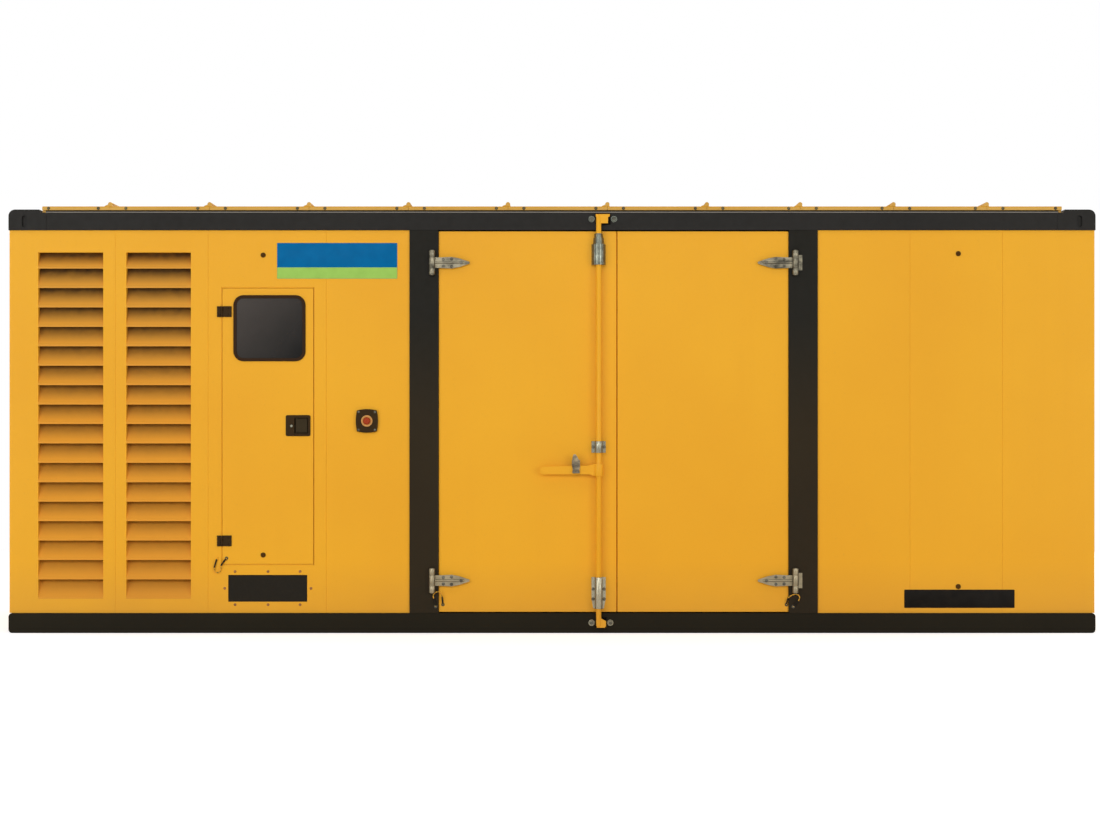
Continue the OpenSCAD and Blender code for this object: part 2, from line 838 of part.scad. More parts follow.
module cable_entry_sheet() {
    color(rubber) translate([cable_left, -panel_face + 4, cable_z]) cube([cable_w, cable_t, cable_h]);
}

module control_door_leaf() {
    color(yellow) difference() {
        union() {
            control_block(0, 0, control_rim);
            control_block(control_ledge, 0, control_t);
        }
        facing(-panel_face - 1, control_t + 2)
            polygon(round_rect(window_left + gasket_cover, window_z + gasket_cover,
                window_w - 2 * gasket_cover, window_h - 2 * gasket_cover, window_r - gasket_cover));
        translate([tub_left, -panel_face - 1, latch_mid - tub_h / 2]) cube([tub_w, tub_d + 1, tub_h]);
    }
}

module window_gasket() {
    color(rubber) facing(-panel_face - gasket_t, gasket_t) difference() {
        polygon(round_rect(window_left, window_z, window_w, window_h, window_r));
        polygon(round_rect(window_left + gasket_w, window_z + gasket_w,
            window_w - 2 * gasket_w, window_h - 2 * gasket_w, window_r - gasket_w));
    }
}

module window_glass() {
    color([0.2, 0.2, 0.2]) facing(-panel_face, glass_t)
        polygon(round_rect(window_left + gasket_cover, window_z + gasket_cover,
            window_w - 2 * gasket_cover, window_h - 2 * gasket_cover, window_r - gasket_cover));
}

// Control door hinge about its pin, frame leaf on the -X side
module plate_hinge(l) {
    r = plate_pin - 0.5;
    half = plate_h / 2;
    cylinder(r = r, h = half - 0.5);
    translate([-l, plate_pin - 6, -half]) cube([l - r - 2, 6, plate_h - 0.5]);
    translate([-l, plate_pin - 6, 0]) cube([l, 5, half - 0.5]);
}

module control_hinge_frames() {
    color(black) for (z = plate_z)
        translate([control_pin_x, -panel_face - plate_pin, z]) {
            plate_hinge(26);
            translate([0, 0, -plate_h / 2]) cylinder(r = 3, h = plate_h / 2 + 2);
        }
}

module control_door_hinges() {
    color(black) for (z = plate_z)
        translate([control_pin_x, -panel_face - plate_pin, z]) difference() {
            mirror([0, 0, 1]) mirror([1, 0, 0]) plate_hinge(54);
            translate([0, 0, -plate_h / 2 - 1]) cylinder(r = 3 + fit, h = plate_h / 2 + 1);
        }
}

module latch_pan() {
    plate_t = 5;
    color(black) difference() {
        union() {
            facing(-panel_face - plate_t, plate_t)
                polygon(round_rect(latch_left, latch_mid - latch_h / 2, latch_w, latch_h, 10));
            translate([tub_left, -panel_face - 1, latch_mid - tub_h / 2]) cube([tub_w, tub_d + 1, tub_h]);
        }
        translate([tub_left + tub_t, -panel_face - plate_t - 1, latch_mid - tub_h / 2 + tub_t])
            cube([tub_w - 2 * tub_t, tub_d + plate_t + 1 - tub_t, tub_h - 2 * tub_t]);
        translate([paddle_x, -panel_face + 3, latch_mid - tub_h / 2]) cylinder(r = paddle_pin + fit, h = tub_h);
    }
}

module latch_paddle() {
    h = tub_h - 2 * tub_t - 10;
    w = tub_w - 2 * tub_t - 14;
    color([0.2, 0.2, 0.2]) translate([paddle_x, -panel_face + 3, latch_mid]) {
        cylinder(r = paddle_pin, h = tub_h - 1, center = true);
        translate([0, -5, -h / 2]) cube([w, 6, h]);
    }
}

module stop_housing() {
    color(black) translate([stop_mid[0], 0, stop_mid[1]]) difference() {
        facing(-panel_face - stop_box_t, stop_box_t) polygon(bowed(stop_box_w, stop_box_h, 7, 8));
        translate([0, -panel_face - 1, 0]) rotate([90, 0, 0]) cylinder(r = stem_r + fit, h = stop_box_t);
    }
}

module stop_button() {
    head = stop_travel + 5;
    color([0.75, 0.12, 0.08]) translate([stop_mid[0], -panel_face, stop_mid[1]]) rotate([90, 0, 0]) {
        translate([0, 0, stop_travel + 3]) cylinder(r = stem_r, h = stop_box_t - 3 + 8);
        translate([0, 0, stop_box_t + head]) cylinder(r1 = stop_r - 3, r2 = stop_r, h = 4);
        translate([0, 0, stop_box_t + head + 4]) cylinder(r1 = stop_r, r2 = stop_r - 4, h = 7);
    }
}

base_side_rails();
base_end_rails();
base_cross_members();
floor_deck();
top_side_rails();
top_end_rails();
roof_sheets();
roof_seam_caps();
front_posts();
rear_posts();
front_door_stops();
front_louvre_panels();
front_louvre_blades();
control_bay_panel();
stop_bay_panel();
front_plain_panels();
rear_louvre_panels();
rear_louvre_blades();
rear_panels();
left_end_panels();
right_end_panels();
right_end_louvre_blades();
rear_door_leaves();
rear_door_hinges();
rear_lock_bar();
rear_lock_fittings();
front_hinge_forks();
front_lock_keepers();
control_hinge_frames();
control_cabinet();
cable_entry_sheet();
stop_housing();
left_door_leaf();
left_door_straps();
lock_bar_guides();
lock_bar();
handle_catch();
right_door_leaf();
right_door_straps();
control_door_leaf();
window_gasket();
window_glass();
control_door_hinges();
latch_pan();
latch_paddle();
stop_button();
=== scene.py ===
"""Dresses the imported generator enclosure: camera, paint, fasteners, plates, seals, linings, leads and light."""
import math

import bmesh
import bpy
from mathutils import Matrix, Vector


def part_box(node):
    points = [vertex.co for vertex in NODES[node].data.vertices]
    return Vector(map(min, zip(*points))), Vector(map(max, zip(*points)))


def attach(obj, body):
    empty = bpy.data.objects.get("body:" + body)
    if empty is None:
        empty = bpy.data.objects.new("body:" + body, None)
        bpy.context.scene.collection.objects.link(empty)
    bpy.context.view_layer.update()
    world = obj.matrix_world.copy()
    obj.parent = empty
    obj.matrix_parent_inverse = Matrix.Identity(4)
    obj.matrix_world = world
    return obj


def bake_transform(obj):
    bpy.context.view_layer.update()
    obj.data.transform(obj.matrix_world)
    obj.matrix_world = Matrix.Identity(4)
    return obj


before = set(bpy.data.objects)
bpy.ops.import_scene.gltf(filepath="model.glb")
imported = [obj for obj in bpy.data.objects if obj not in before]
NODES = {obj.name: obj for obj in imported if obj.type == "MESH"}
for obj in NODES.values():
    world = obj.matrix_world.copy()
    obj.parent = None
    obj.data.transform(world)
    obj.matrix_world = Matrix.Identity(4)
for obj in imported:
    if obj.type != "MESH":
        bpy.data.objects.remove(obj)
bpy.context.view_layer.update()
scene = bpy.context.scene

X, Y, Z = 0, 1, 2
FRONT, BACK = (0, -1, 0), (0, 1, 0)

# Boxes of the solids, in metres, and the planes that they give
wall_low, wall_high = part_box("stop_bay_panel")
roof_low, roof_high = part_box("roof_sheets")
left_low, left_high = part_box("left_door_leaf")
right_low, right_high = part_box("right_door_leaf")
rear_low, rear_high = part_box("rear_door_leaves")
stops_low, stops_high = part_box("front_door_stops")
control_low, control_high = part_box("control_door_leaf")
cable_low, cable_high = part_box("cable_entry_sheet")
housing_low, housing_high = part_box("stop_housing")
latch_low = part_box("latch_pan")[0]
PANEL_Y = wall_low.y
RAIL_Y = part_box("front_posts")[0].y
WALL_IN = -wall_high.y
BASE_Z, WALL_TOP = wall_low.z, wall_high.z
ROOF_Y, ROOF_Z = roof_low.y, roof_low.z
END_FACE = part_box("right_end_panels")[1].x
END_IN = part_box("left_end_panels")[1].x

# Axes of the lock bar and the hinges
BAR_X = 0.257
PIN_Y = -1.120
LEFT_PIN_X, RIGHT_PIN_X = -0.661, 1.341
HINGE_Z = (0.290, 2.042)
CONTROL_PIN_X = -1.822
CONTROL_HINGE_Z = (0.508, 1.773)

# Lines between the panels of the long walls, from left to right
LOUVRE_JOINT, CONTROL_JOINT, STOP_JOINT = -2.410, -1.898, -1.246
LEFT_POST, RIGHT_POST = -0.786, 1.466
PLAIN_JOINTS = (1.976, 2.486)
LAST_LINE = 2.916


def srgb(r, g, b):
    """Linear colour of an 8-bit display colour."""
    def one(c):
        c /= 255
        return c / 12.92 if c <= 0.04045 else ((c + 0.055) / 1.055) ** 2.4
    return (one(r), one(g), one(b), 1.0)


# Camera: square on to the front, as in the photograph
IMAGE_W = 1100
MM_PER_PIXEL = 5.515
VIEW_DISTANCE = 14.0
CAMERA_X, CAMERA_Z = -0.011, 1.175
SENSOR = 36.0
FAR_CLIP = 200
camera = bpy.data.objects.new("camera", bpy.data.cameras.new("camera"))
camera.data.sensor_fit = "HORIZONTAL"
camera.data.sensor_width = SENSOR
camera.data.lens = SENSOR * VIEW_DISTANCE / (IMAGE_W * MM_PER_PIXEL / 1000)
camera.data.clip_end = FAR_CLIP
camera.location = (CAMERA_X, RAIL_Y - VIEW_DISTANCE, CAMERA_Z)
camera.rotation_euler = (math.radians(90), 0, 0)
scene.collection.objects.link(camera)
scene.camera = camera
scene.view_settings.view_transform = "Standard"


class Nodes:
    """Short way to build a material's node tree; its textures lie in the frame of the solids."""

    def __init__(self, name):
        self.material = bpy.data.materials.new(name)
        self.material.use_nodes = True
        self.tree = self.material.node_tree
        self.tree.nodes.clear()
        self.out = self.add("OutputMaterial")
        self.shader = self.add("BsdfPrincipled")
        self.link(self.shader.outputs[0], self.out.inputs[0])
        coords = self.add("TexCoord")
        self.coord, self.normal = coords.outputs["Object"], coords.outputs["Normal"]

    def add(self, kind):
        return self.tree.nodes.new("ShaderNode" + kind)

    def link(self, a, b):
        self.tree.links.new(a, b)

    def set(self, socket, value):
        """Links an output to the socket, or writes a constant on the socket itself."""
        if hasattr(value, "is_linked"):
            self.link(value, socket)
        else:
            socket.default_value = value

    def shade(self, **values):
        for name, value in values.items():
            self.set(self.shader.inputs[name.replace("_", " ")], value)

    def scaled(self, x, y, z, turn=0.0):
        """Coordinates scaled along each axis, then turned about z by degrees."""
        node = self.add("Mapping")
        self.link(self.coord, node.inputs["Vector"])
        node.inputs["Scale"].default_value = (x, y, z)
        node.inputs["Rotation"].default_value = (0, 0, math.radians(turn))
        return node.outputs[0]

    def noise(self, scale, detail=2.0, rough=0.5, vector=None):
        node = self.add("TexNoise")
        self.link(vector or self.coord, node.inputs["Vector"])
        node.inputs["Scale"].default_value = scale
        node.inputs["Detail"].default_value = detail
        node.inputs["Roughness"].default_value = rough
        return node.outputs["Fac"]

    def cells(self, scale, vector=None, random=1.0):
        """Distance to the nearest cell centre."""
        node = self.add("TexVoronoi")
        self.link(vector or self.coord, node.inputs["Vector"])
        node.inputs["Scale"].default_value = scale
        node.inputs["Randomness"].default_value = random
        return node.outputs["Distance"]

    def range(self, value, low, high, to_low=0.0, to_high=1.0):
        node = self.add("MapRange")
        self.set(node.inputs["Value"], value)
        for name, v in zip(("From Min", "From Max", "To Min", "To Max"), (low, high, to_low, to_high)):
            node.inputs[name].default_value = v
        return node.outputs[0]

    def math(self, kind, a, b=0.0):
        node = self.add("Math")
        node.operation = kind
        self.set(node.inputs[0], a)
        self.set(node.inputs[1], b)
        return node.outputs[0]

    def mix(self, factor, a, b):
        node = self.add("Mix")
        node.data_type = "RGBA"
        self.set(node.inputs[0], factor)
        self.set(node.inputs[6], a)
        self.set(node.inputs[7], b)
        return node.outputs[2]

    def part(self, vector, index):
        node = self.add("SeparateXYZ")
        self.link(vector, node.inputs[0])
        return node.outputs[index]

    def axis(self, index):
        """One coordinate of the point."""
        return self.part(self.coord, index)

    def facing(self, index):
        """One component of the surface normal."""
        return self.part(self.normal, index)

    def bump(self, height, strength, distance):
        node = self.add("Bump")
        self.link(height, node.inputs["Height"])
        node.inputs["Strength"].default_value = strength
        node.inputs["Distance"].default_value = distance
        self.link(node.outputs[0], self.shader.inputs["Normal"])


# Colours of painted shade: deep in the louvre recesses, and on the flanks of plated parts.
DEEP_SHADE = srgb(66, 50, 32)
FLANK_SHADE = srgb(58, 56, 48)


def paint(name, colour, tint, dirt_and_shade, rough, dark_band_top, peel, shine, shaded_recess=None, height_shade=None, crown=None):
    """Sprayed paint: slow colour drift, run-off streaks, a darker band near the ground and orange peel.

    dark_band_top is the height that the darker band near the ground reaches, peel the strength of the orange
    peel;
    shaded_recess = (axis, face, depth) paints shade into the paint from a wall face inward;
    height_shade = (start, end, colour) paints shade by changing its colour between two heights;
    crown is its colour on faces that look up."""
    n = Nodes(name)
    drift = n.range(n.noise(0.9, 3), 0.35, 0.65)
    streak = n.range(n.noise(9.0, 3, 0.6, n.scaled(1, 1, 0.05)), 0.52, 0.75, 0.0, 0.35)
    base = n.mix(drift, colour, tint)
    base = n.mix(streak, base, tint)
    # Painted shade: the colour changes between two heights.
    if height_shade:
        start, end, shade_colour = height_shade
        base = n.mix(n.range(n.axis(Z), start, end), base, shade_colour)
    if crown:
        dusty = n.range(n.noise(3.2, 4, 0.6, n.scaled(1, 0.25, 1)), 0.40, 0.75, 0.0, 0.3)
        base = n.mix(n.range(n.facing(Z), 0.3, 0.8), base, n.mix(dusty, crown, dirt_and_shade))
    # Darker band near the ground, up to dark_band_top; on the black, post and base paints this is painted shade.
    low = n.range(n.axis(Z), 0.0, dark_band_top, 1.0, 0.0)
    dust = n.math("MULTIPLY", low, n.range(n.noise(2.6, 3, 0.5), 0.3, 0.7, 0.40, 0.56))
    base = n.mix(dust, base, dirt_and_shade)
    speck = n.range(n.noise(160, 2), 0.66, 0.74, 0.0, 0.25)
    base = n.mix(speck, base, dirt_and_shade)
    # Painted shade in the louvre recesses: darker from a wall face inward, and stronger higher up.
    if shaded_recess:
        axis, face, deep = shaded_recess
        inward = n.range(n.axis(axis), face, deep)
        recess_shade = n.math("MULTIPLY", inward, n.range(n.axis(Z), 0.2, 2.0, 0.30, 1.0))
        recess_shade = n.math("MULTIPLY", recess_shade, n.range(n.noise(22, 4), 0.25, 0.75, 0.8, 1.0))
        base = n.mix(recess_shade, base, DEEP_SHADE)
    height = n.math("ADD", n.noise(230, 2), n.math("MULTIPLY", n.noise(4, 1), 2.0))
    n.shade(Base_Color=base, Specular_IOR_Level=shine,
            Roughness=n.range(n.noise(35, 4), 0.3, 0.7, rough - 0.06, rough + 0.08))
    n.bump(height, peel, 0.0006)
    return n.material


YELLOW_TONES = (srgb(243, 176, 31), srgb(239, 170, 29), srgb(204, 143, 53), 0.42, 0.40, 0.10, 0.25)
# Seal paint: a dark orange copy of the yellow, painted shade for the gap where the front leaves meet.
SHADED_SEAL_TONES = (srgb(206, 116, 4), srgb(198, 108, 4), srgb(176, 100, 14), 0.5, 0.40, 0.10, 0.1)
# The roof's pale beige is a painted highlight from the sky on its edges and seam caps; faces that look up take
# the yellow crown colour.
ROOF_SHEEN_TONES = (srgb(220, 172, 84), srgb(206, 156, 66), srgb(204, 150, 58), 0.5, 0.0001, 0.12, 0.2)
# The blades' paint is a darker, more orange copy of the yellow, and darker again from 1.2 to 1.9 m up: painted
# shade on the sloping blades.
SHADED_BLADE_TONES = (srgb(234, 158, 44), srgb(228, 152, 42), srgb(190, 130, 46), 0.45, 0.40, 0.10, 0.2)
BLADE_UPPER_SHADE = (1.2, 1.9, srgb(222, 154, 50))
# The black and base paints darken towards the ground below dark_band_top: painted shade.
BLACK_TONES = (srgb(31, 29, 26), srgb(26, 24, 21), srgb(24, 21, 16), 0.5, 0.16, 0.16, 0.14)
# Posts: their brown is a painted reflection of the yellow doors; from 1.1 to 1.75 m up they turn to a darker
# neutral, above that reflection.
POST_TONES = (srgb(45, 36, 20), srgb(40, 31, 16), srgb(28, 24, 17), 0.5, 0.3, 0.16, 0.10)
BASE_TONES = (srgb(36, 32, 21), srgb(31, 27, 18), srgb(30, 26, 18), 0.5, 0.16, 0.16, 0.06)
CREAM_TONES = (srgb(196, 196, 190), srgb(186, 186, 181), srgb(150, 146, 136), 0.45, 0.2, 0.2, 0.3)
# Painted shade in the louvre recesses: it starts this far behind the wall face and is full at the second depth.
SHADE_START, SHADE_FULL = 0.006, 0.042
YELLOW = paint("yellow_paint", *YELLOW_TONES)
SHADED_SEAL = paint("seal_paint", *SHADED_SEAL_TONES)
ROOF = paint("roof_paint", *ROOF_SHEEN_TONES, crown=srgb(236, 170, 34))
FRONT_BLADES = paint("front_blade_paint", *SHADED_BLADE_TONES,
                     (Y, PANEL_Y + SHADE_START, PANEL_Y + SHADE_FULL), BLADE_UPPER_SHADE)
REAR_BLADES = paint("rear_blade_paint", *SHADED_BLADE_TONES,
                    (Y, -PANEL_Y - SHADE_START, -PANEL_Y - SHADE_FULL), BLADE_UPPER_SHADE)
END_BLADES = paint("end_blade_paint", *SHADED_BLADE_TONES,
                   (X, END_FACE - SHADE_START, END_FACE - SHADE_FULL), BLADE_UPPER_SHADE)
BLACK = paint("black_paint", *BLACK_TONES)
POST = paint("post_paint", *POST_TONES, height_shade=(1.1, 1.75, srgb(26, 24, 18)))
BASE = paint("base_paint", *BASE_TONES)
CREAM = paint("cabinet_paint", *CREAM_TONES)


def metal(name, colour, dark, rough, metallic, low=None):
    """Plated steel: cloudy plating, fine brushed scratches and painted shade on its flanks, the faces that turn
    away from the front.

    low is a colour that it takes on towards the ground: a painted reflection, lighter and warmer low down."""
    n = Nodes(name)
    cloud = n.range(n.noise(30, 4, 0.6, n.scaled(0.5, 1, 1)), 0.36, 0.64)
    grain = n.noise(300, 2, 0.5, n.scaled(1, 1, 0.08))
    flat = n.math("ABSOLUTE", n.facing(Y))
    base = n.mix(cloud, colour, dark)
    # Painted reflection: lighter and warmer towards the ground.
    if low:
        base = n.mix(n.range(n.axis(Z), 0.3, 1.9, 0.6, 0.0), base, low)
    # Painted shade: faces that turn away from the front darken towards FLANK_SHADE.
    base = n.mix(n.range(flat, 0.25, 0.95, 0.75, 0.0), base, FLANK_SHADE)
    n.shade(Base_Color=base, Metallic=metallic,
            Roughness=n.range(grain, 0.3, 0.7, rough - 0.08, rough + 0.12))
    n.bump(grain, 0.12, 0.0004)
    return n.material


ZINC = metal("zinc_plate", srgb(128, 133, 120), srgb(86, 90, 80), 0.26, 0.65, srgb(182, 172, 144))
STRAP = metal("strap_plate", srgb(142, 134, 112), srgb(70, 67, 55), 0.36, 0.65, srgb(154, 140, 110))
CATCH = metal("catch_plate", srgb(160, 144, 114), srgb(58, 54, 45), 0.4, 0.65)
BOLT = metal("bolt_steel", srgb(112, 109, 96), srgb(66, 63, 54), 0.42, 0.8)
DULL_BOLT = metal("dark_bolt", srgb(108, 94, 54), srgb(62, 55, 38), 0.5, 0.5)
BROWN_BOLT = metal("painted_screw", srgb(188, 122, 54), srgb(138, 86, 38), 0.5, 0.1)


def moulded(name, colour, pale, rough, grain, scale, shine=0.2):
    """Moulded plastic or rubber: fine pitted skin with faint scuffs."""
    n = Nodes(name)
    scuff = n.range(n.noise(38, 5, 0.7), 0.55, 0.8, 0.0, 0.7)
    n.shade(Base_Color=n.mix(scuff, colour, pale), Specular_IOR_Level=shine,
            Roughness=n.range(n.noise(90, 3), 0.3, 0.7, rough - 0.07, rough + 0.07))
    n.bump(n.noise(scale, 3), grain, 0.0004)
    return n.material


FITTING = moulded("fitting_black", srgb(52, 37, 16), srgb(62, 47, 24), 0.5, 0.22, 900, 0.08)
LOCK = moulded("lock_brown", srgb(84, 54, 12), srgb(72, 46, 12), 0.5, 0.22, 900, 0.08)
PADDLE = moulded("paddle_black", srgb(54, 44, 26), srgb(63, 52, 34), 0.48, 0.22, 900, 0.08)
RUBBER = moulded("rubber", srgb(31, 27, 20), srgb(41, 36, 27), 0.62, 0.3, 500, 0.1)
RED = moulded("red_plastic", srgb(162, 54, 14), srgb(138, 44, 12), 0.28, 0.08, 700, 0.2)
RING = moulded("ring_yellow", srgb(214, 154, 84), srgb(196, 138, 70), 0.4, 0.1, 700)
# Pale sealing tape; its light grey also stands in for the highlight along the rails' top edges.
TAPE_AND_HIGHLIGHT = moulded("sealing_tape", srgb(148, 141, 131), srgb(124, 118, 110), 0.6, 0.3, 400)
GASKET = moulded("gasket_rubber", srgb(52, 34, 18), srgb(60, 43, 27), 0.6, 0.3, 500, 0.08)


def tinted_glass():
    """Smoked pane whose tint deepens towards the lower right, a painted reflection that is lighter towards the
    upper left, with a faint film of dust.
    """
    n = Nodes("tinted_glass")
    low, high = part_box("window_glass")
    # Painted reflection: lighter towards the upper left, darker towards the lower right.
    slope = n.math("SUBTRACT", n.range(n.axis(X), low.x, high.x), n.range(n.axis(Z), low.z, high.z))
    cloud = n.range(n.noise(5, 4, 0.6), 0.3, 0.7, -0.12, 0.12)
    tint = n.range(n.math("ADD", slope, cloud), -0.95, 0.85)
    n.shade(Base_Color=n.mix(tint, srgb(84, 77, 72), srgb(20, 18, 15)), Specular_IOR_Level=0.15,
            Roughness=n.range(n.noise(22, 4), 0.3, 0.7, 0.03, 0.09), Transmission_Weight=0.25, IOR=1.45)
    n.bump(n.noise(1.6, 1), 0.05, 0.002)
    return n.material


def tread_plate():
    """Steel floor plate with rows of raised bars, crossing at right angles."""
    n = Nodes("tread_plate")
    heights = []
    for turn in (45, -45):
        turned = n.scaled(1, 1, 0, turn)
        bars = n.math("PINGPONG", n.math("MULTIPLY", n.part(turned, X), 25), 1.0)
        across = n.math("PINGPONG", n.math("MULTIPLY", n.part(turned, Y), 55), 1.0)
        heights.append(n.math("MULTIPLY", n.range(bars, 0.25, 0.45), n.range(across, 0.62, 0.8)))
    worn = n.range(n.noise(7, 5, 0.6), 0.4, 0.7)
    n.shade(Base_Color=n.mix(worn, srgb(98, 98, 98), srgb(78, 77, 74)), Metallic=0.35,
            Roughness=n.range(n.noise(60, 3), 0.3, 0.7, 0.42, 0.6))
    n.bump(n.math("MAXIMUM", *heights), 0.8, 0.002)
    return n.material


def perforated(name, plane):
    """Lining sheet: galvanised steel with rows of small punched holes over dark wool."""
    n = Nodes(name)
    flat = n.cells(80, n.scaled(*plane), 0.0)
    hole = n.range(flat, 0.24, 0.28, 1.0, 0.0)
    steel = n.mix(n.range(n.cells(26), 0.1, 0.6), srgb(160, 162, 162), srgb(138, 141, 142))
    n.shade(Base_Color=n.mix(hole, steel, srgb(34, 33, 31)), Metallic=0.3,
            Roughness=n.range(n.noise(40, 3), 0.3, 0.7, 0.45, 0.6))
    n.bump(n.range(flat, 0.2, 0.3), 0.4, 0.0008)
    return n.material


def plate_print(name, colour, shade, rough):
    """Plain coloured plate: faint uneven print and a light film of dust."""
    n = Nodes(name)
    n.shade(Base_Color=n.mix(n.range(n.noise(18, 4), 0.35, 0.7), colour, shade), Specular_IOR_Level=0.04,
            Roughness=n.range(n.noise(60, 3), 0.3, 0.7, rough - 0.05, rough + 0.08))
    n.bump(n.noise(300, 2), 0.05, 0.0004)
    return n.material


def lead_cover():
    """Green and yellow striped cover of a bonding lead."""
    n = Nodes("lead_sleeve")
    along = n.math("ADD", n.axis(X), n.axis(Z))
    stripe = n.range(n.math("PINGPONG", n.math("MULTIPLY", along, 90), 1.0), 0.28, 0.34)
    n.shade(Base_Color=n.mix(stripe, srgb(150, 130, 48), srgb(222, 160, 58)), Specular_IOR_Level=0.1,
            Roughness=n.range(n.noise(120, 2), 0.3, 0.7, 0.4, 0.55))
    n.bump(n.noise(600, 2), 0.1, 0.0003)
    return n.material


GLASS = tinted_glass()
DECK = tread_plate()
LONG_LINING = perforated("long_lining", (1, 0, 1))
END_LINING = perforated("end_lining", (0, 1, 1))
ROOF_LINING = perforated("roof_lining", (1, 1, 0))
PLATE_BLUE = plate_print("plate_blue", srgb(0, 106, 163), srgb(0, 100, 155), 0.35)
PLATE_GREEN = plate_print("plate_green", srgb(163, 207, 98), srgb(155, 199, 92), 0.35)
PLATE_BLACK = plate_print("plate_black", srgb(24, 21, 18), srgb(30, 27, 23), 0.4)
LEAD = lead_cover()

# Looks of the solids: edge rounding in metres, and the nodes
LOOKS = {
    YELLOW: (0.0012, """front_louvre_panels control_bay_panel stop_bay_panel front_plain_panels
        rear_louvre_panels rear_panels left_end_panels right_end_panels rear_door_leaves left_door_leaf
        right_door_leaf control_door_leaf lock_bar rear_lock_bar"""),
    ROOF: (0.0015, "roof_sheets roof_seam_caps"),
    FRONT_BLADES: (0.0, "front_louvre_blades"),
    REAR_BLADES: (0.0, "rear_louvre_blades"),
    END_BLADES: (0.0, "right_end_louvre_blades"),
    BLACK: (0.002, "top_side_rails top_end_rails front_door_stops"),
    POST: (0.002, "front_posts rear_posts"),
    BASE: (0.002, "base_side_rails base_end_rails base_cross_members"),
    ZINC: (0.0015, "rear_lock_fittings front_lock_keepers lock_bar_guides"),
    STRAP: (0.0015, "rear_door_hinges front_hinge_forks left_door_straps right_door_straps"),
    CATCH: (0.0015, "handle_catch"),
    FITTING: (0.0012, "control_hinge_frames control_door_hinges latch_pan stop_housing"),
    PADDLE: (0.001, "latch_paddle"),
    RUBBER: (0.0015, "cable_entry_sheet"),
    GASKET: (0.0015, "window_gasket"),
    GLASS: (0.0, "window_glass"),
    RED: (0.002, "stop_button"),
    DECK: (0.0, "floor_deck"),
    CREAM: (0.002, "control_cabinet"),
}
WELD = 0.00002
EDGE_ANGLE = 40


def dress(name, material, edge):
    """Gives a solid its material and, by modifiers, finely rounded edges."""
    o = NODES[name]
    o.data.materials.clear()
    o.data.materials.append(material)
    if edge <= 0:
        return
    weld = o.modifiers.new("weld", "WELD")
    weld.merge_threshold = WELD
    bevel = o.modifiers.new("edge", "BEVEL")
    bevel.width = edge
    bevel.segments = 2
    bevel.limit_method = "ANGLE"
    bevel.angle_limit = math.radians(EDGE_ANGLE)
    bevel.use_clamp_overlap = True
    bevel.harden_normals = True


for material, (edge, names) in LOOKS.items():
    for name in names.split():
        dress(name, material, edge)

# Turned profiles as (radius, height): the screw heads in units of the head's radius, the rest in metres
WASHER = ((0, 0), (1.35, 0), (1.35, 0.16), (1.28, 0.24), (0, 0.24))
HEX_HEAD = ((0, 0), (1, 0), (1, 0.55), (0.86, 0.68), (0, 0.68))
DOME_HEAD = ((0, 0), (1.3, 0), (1.3, 0.12), (1.2, 0.18), (1, 0.18), (0.96, 0.4), (0.8, 0.62), (0.5, 0.74),
             (0.42, 0.74), (0.40, 0.45), (0, 0.42))
PANEL_LOCK = ((0, 0), (0.0142, 0), (0.0142, 0.003), (0.0132, 0.0052), (0.0104, 0.0060), (0.0098, 0.0048),
              (0.0086, 0.0048), (0.0080, 0.0064), (0.0052, 0.0064), (0.0040, 0.0034), (0, 0.0034))
STOP_RING = ((0.0125, 0), (0.0315, 0), (0.0315, 0.002), (0.030, 0.0032), (0.0215, 0.0036), (0.020, 0.0028),
             (0.0125, 0.0028), (0.0125, 0))
KEY_CYLINDER = ((0, 0), (0.0075, 0), (0.0075, 0.002), (0.0065, 0.0030), (0.0055, 0.0030), (0.0052, 0.0022),
                (0, 0.0022))
PIN_HEAD = ((0, 0), (0.0125, 0), (0.0125, 0.0022), (0.011, 0.0036), (0.007, 0.0046), (0, 0.005))
LEAD_LUG = ((0.0045, 0), (0.0095, 0), (0.0095, 0.0014), (0.009, 0.002), (0.0045, 0.002), (0.0045, 0))
ON_AXIS = 1e-7


def sized(profile, r):
    return [(r * a, r * b) for a, b in profile]


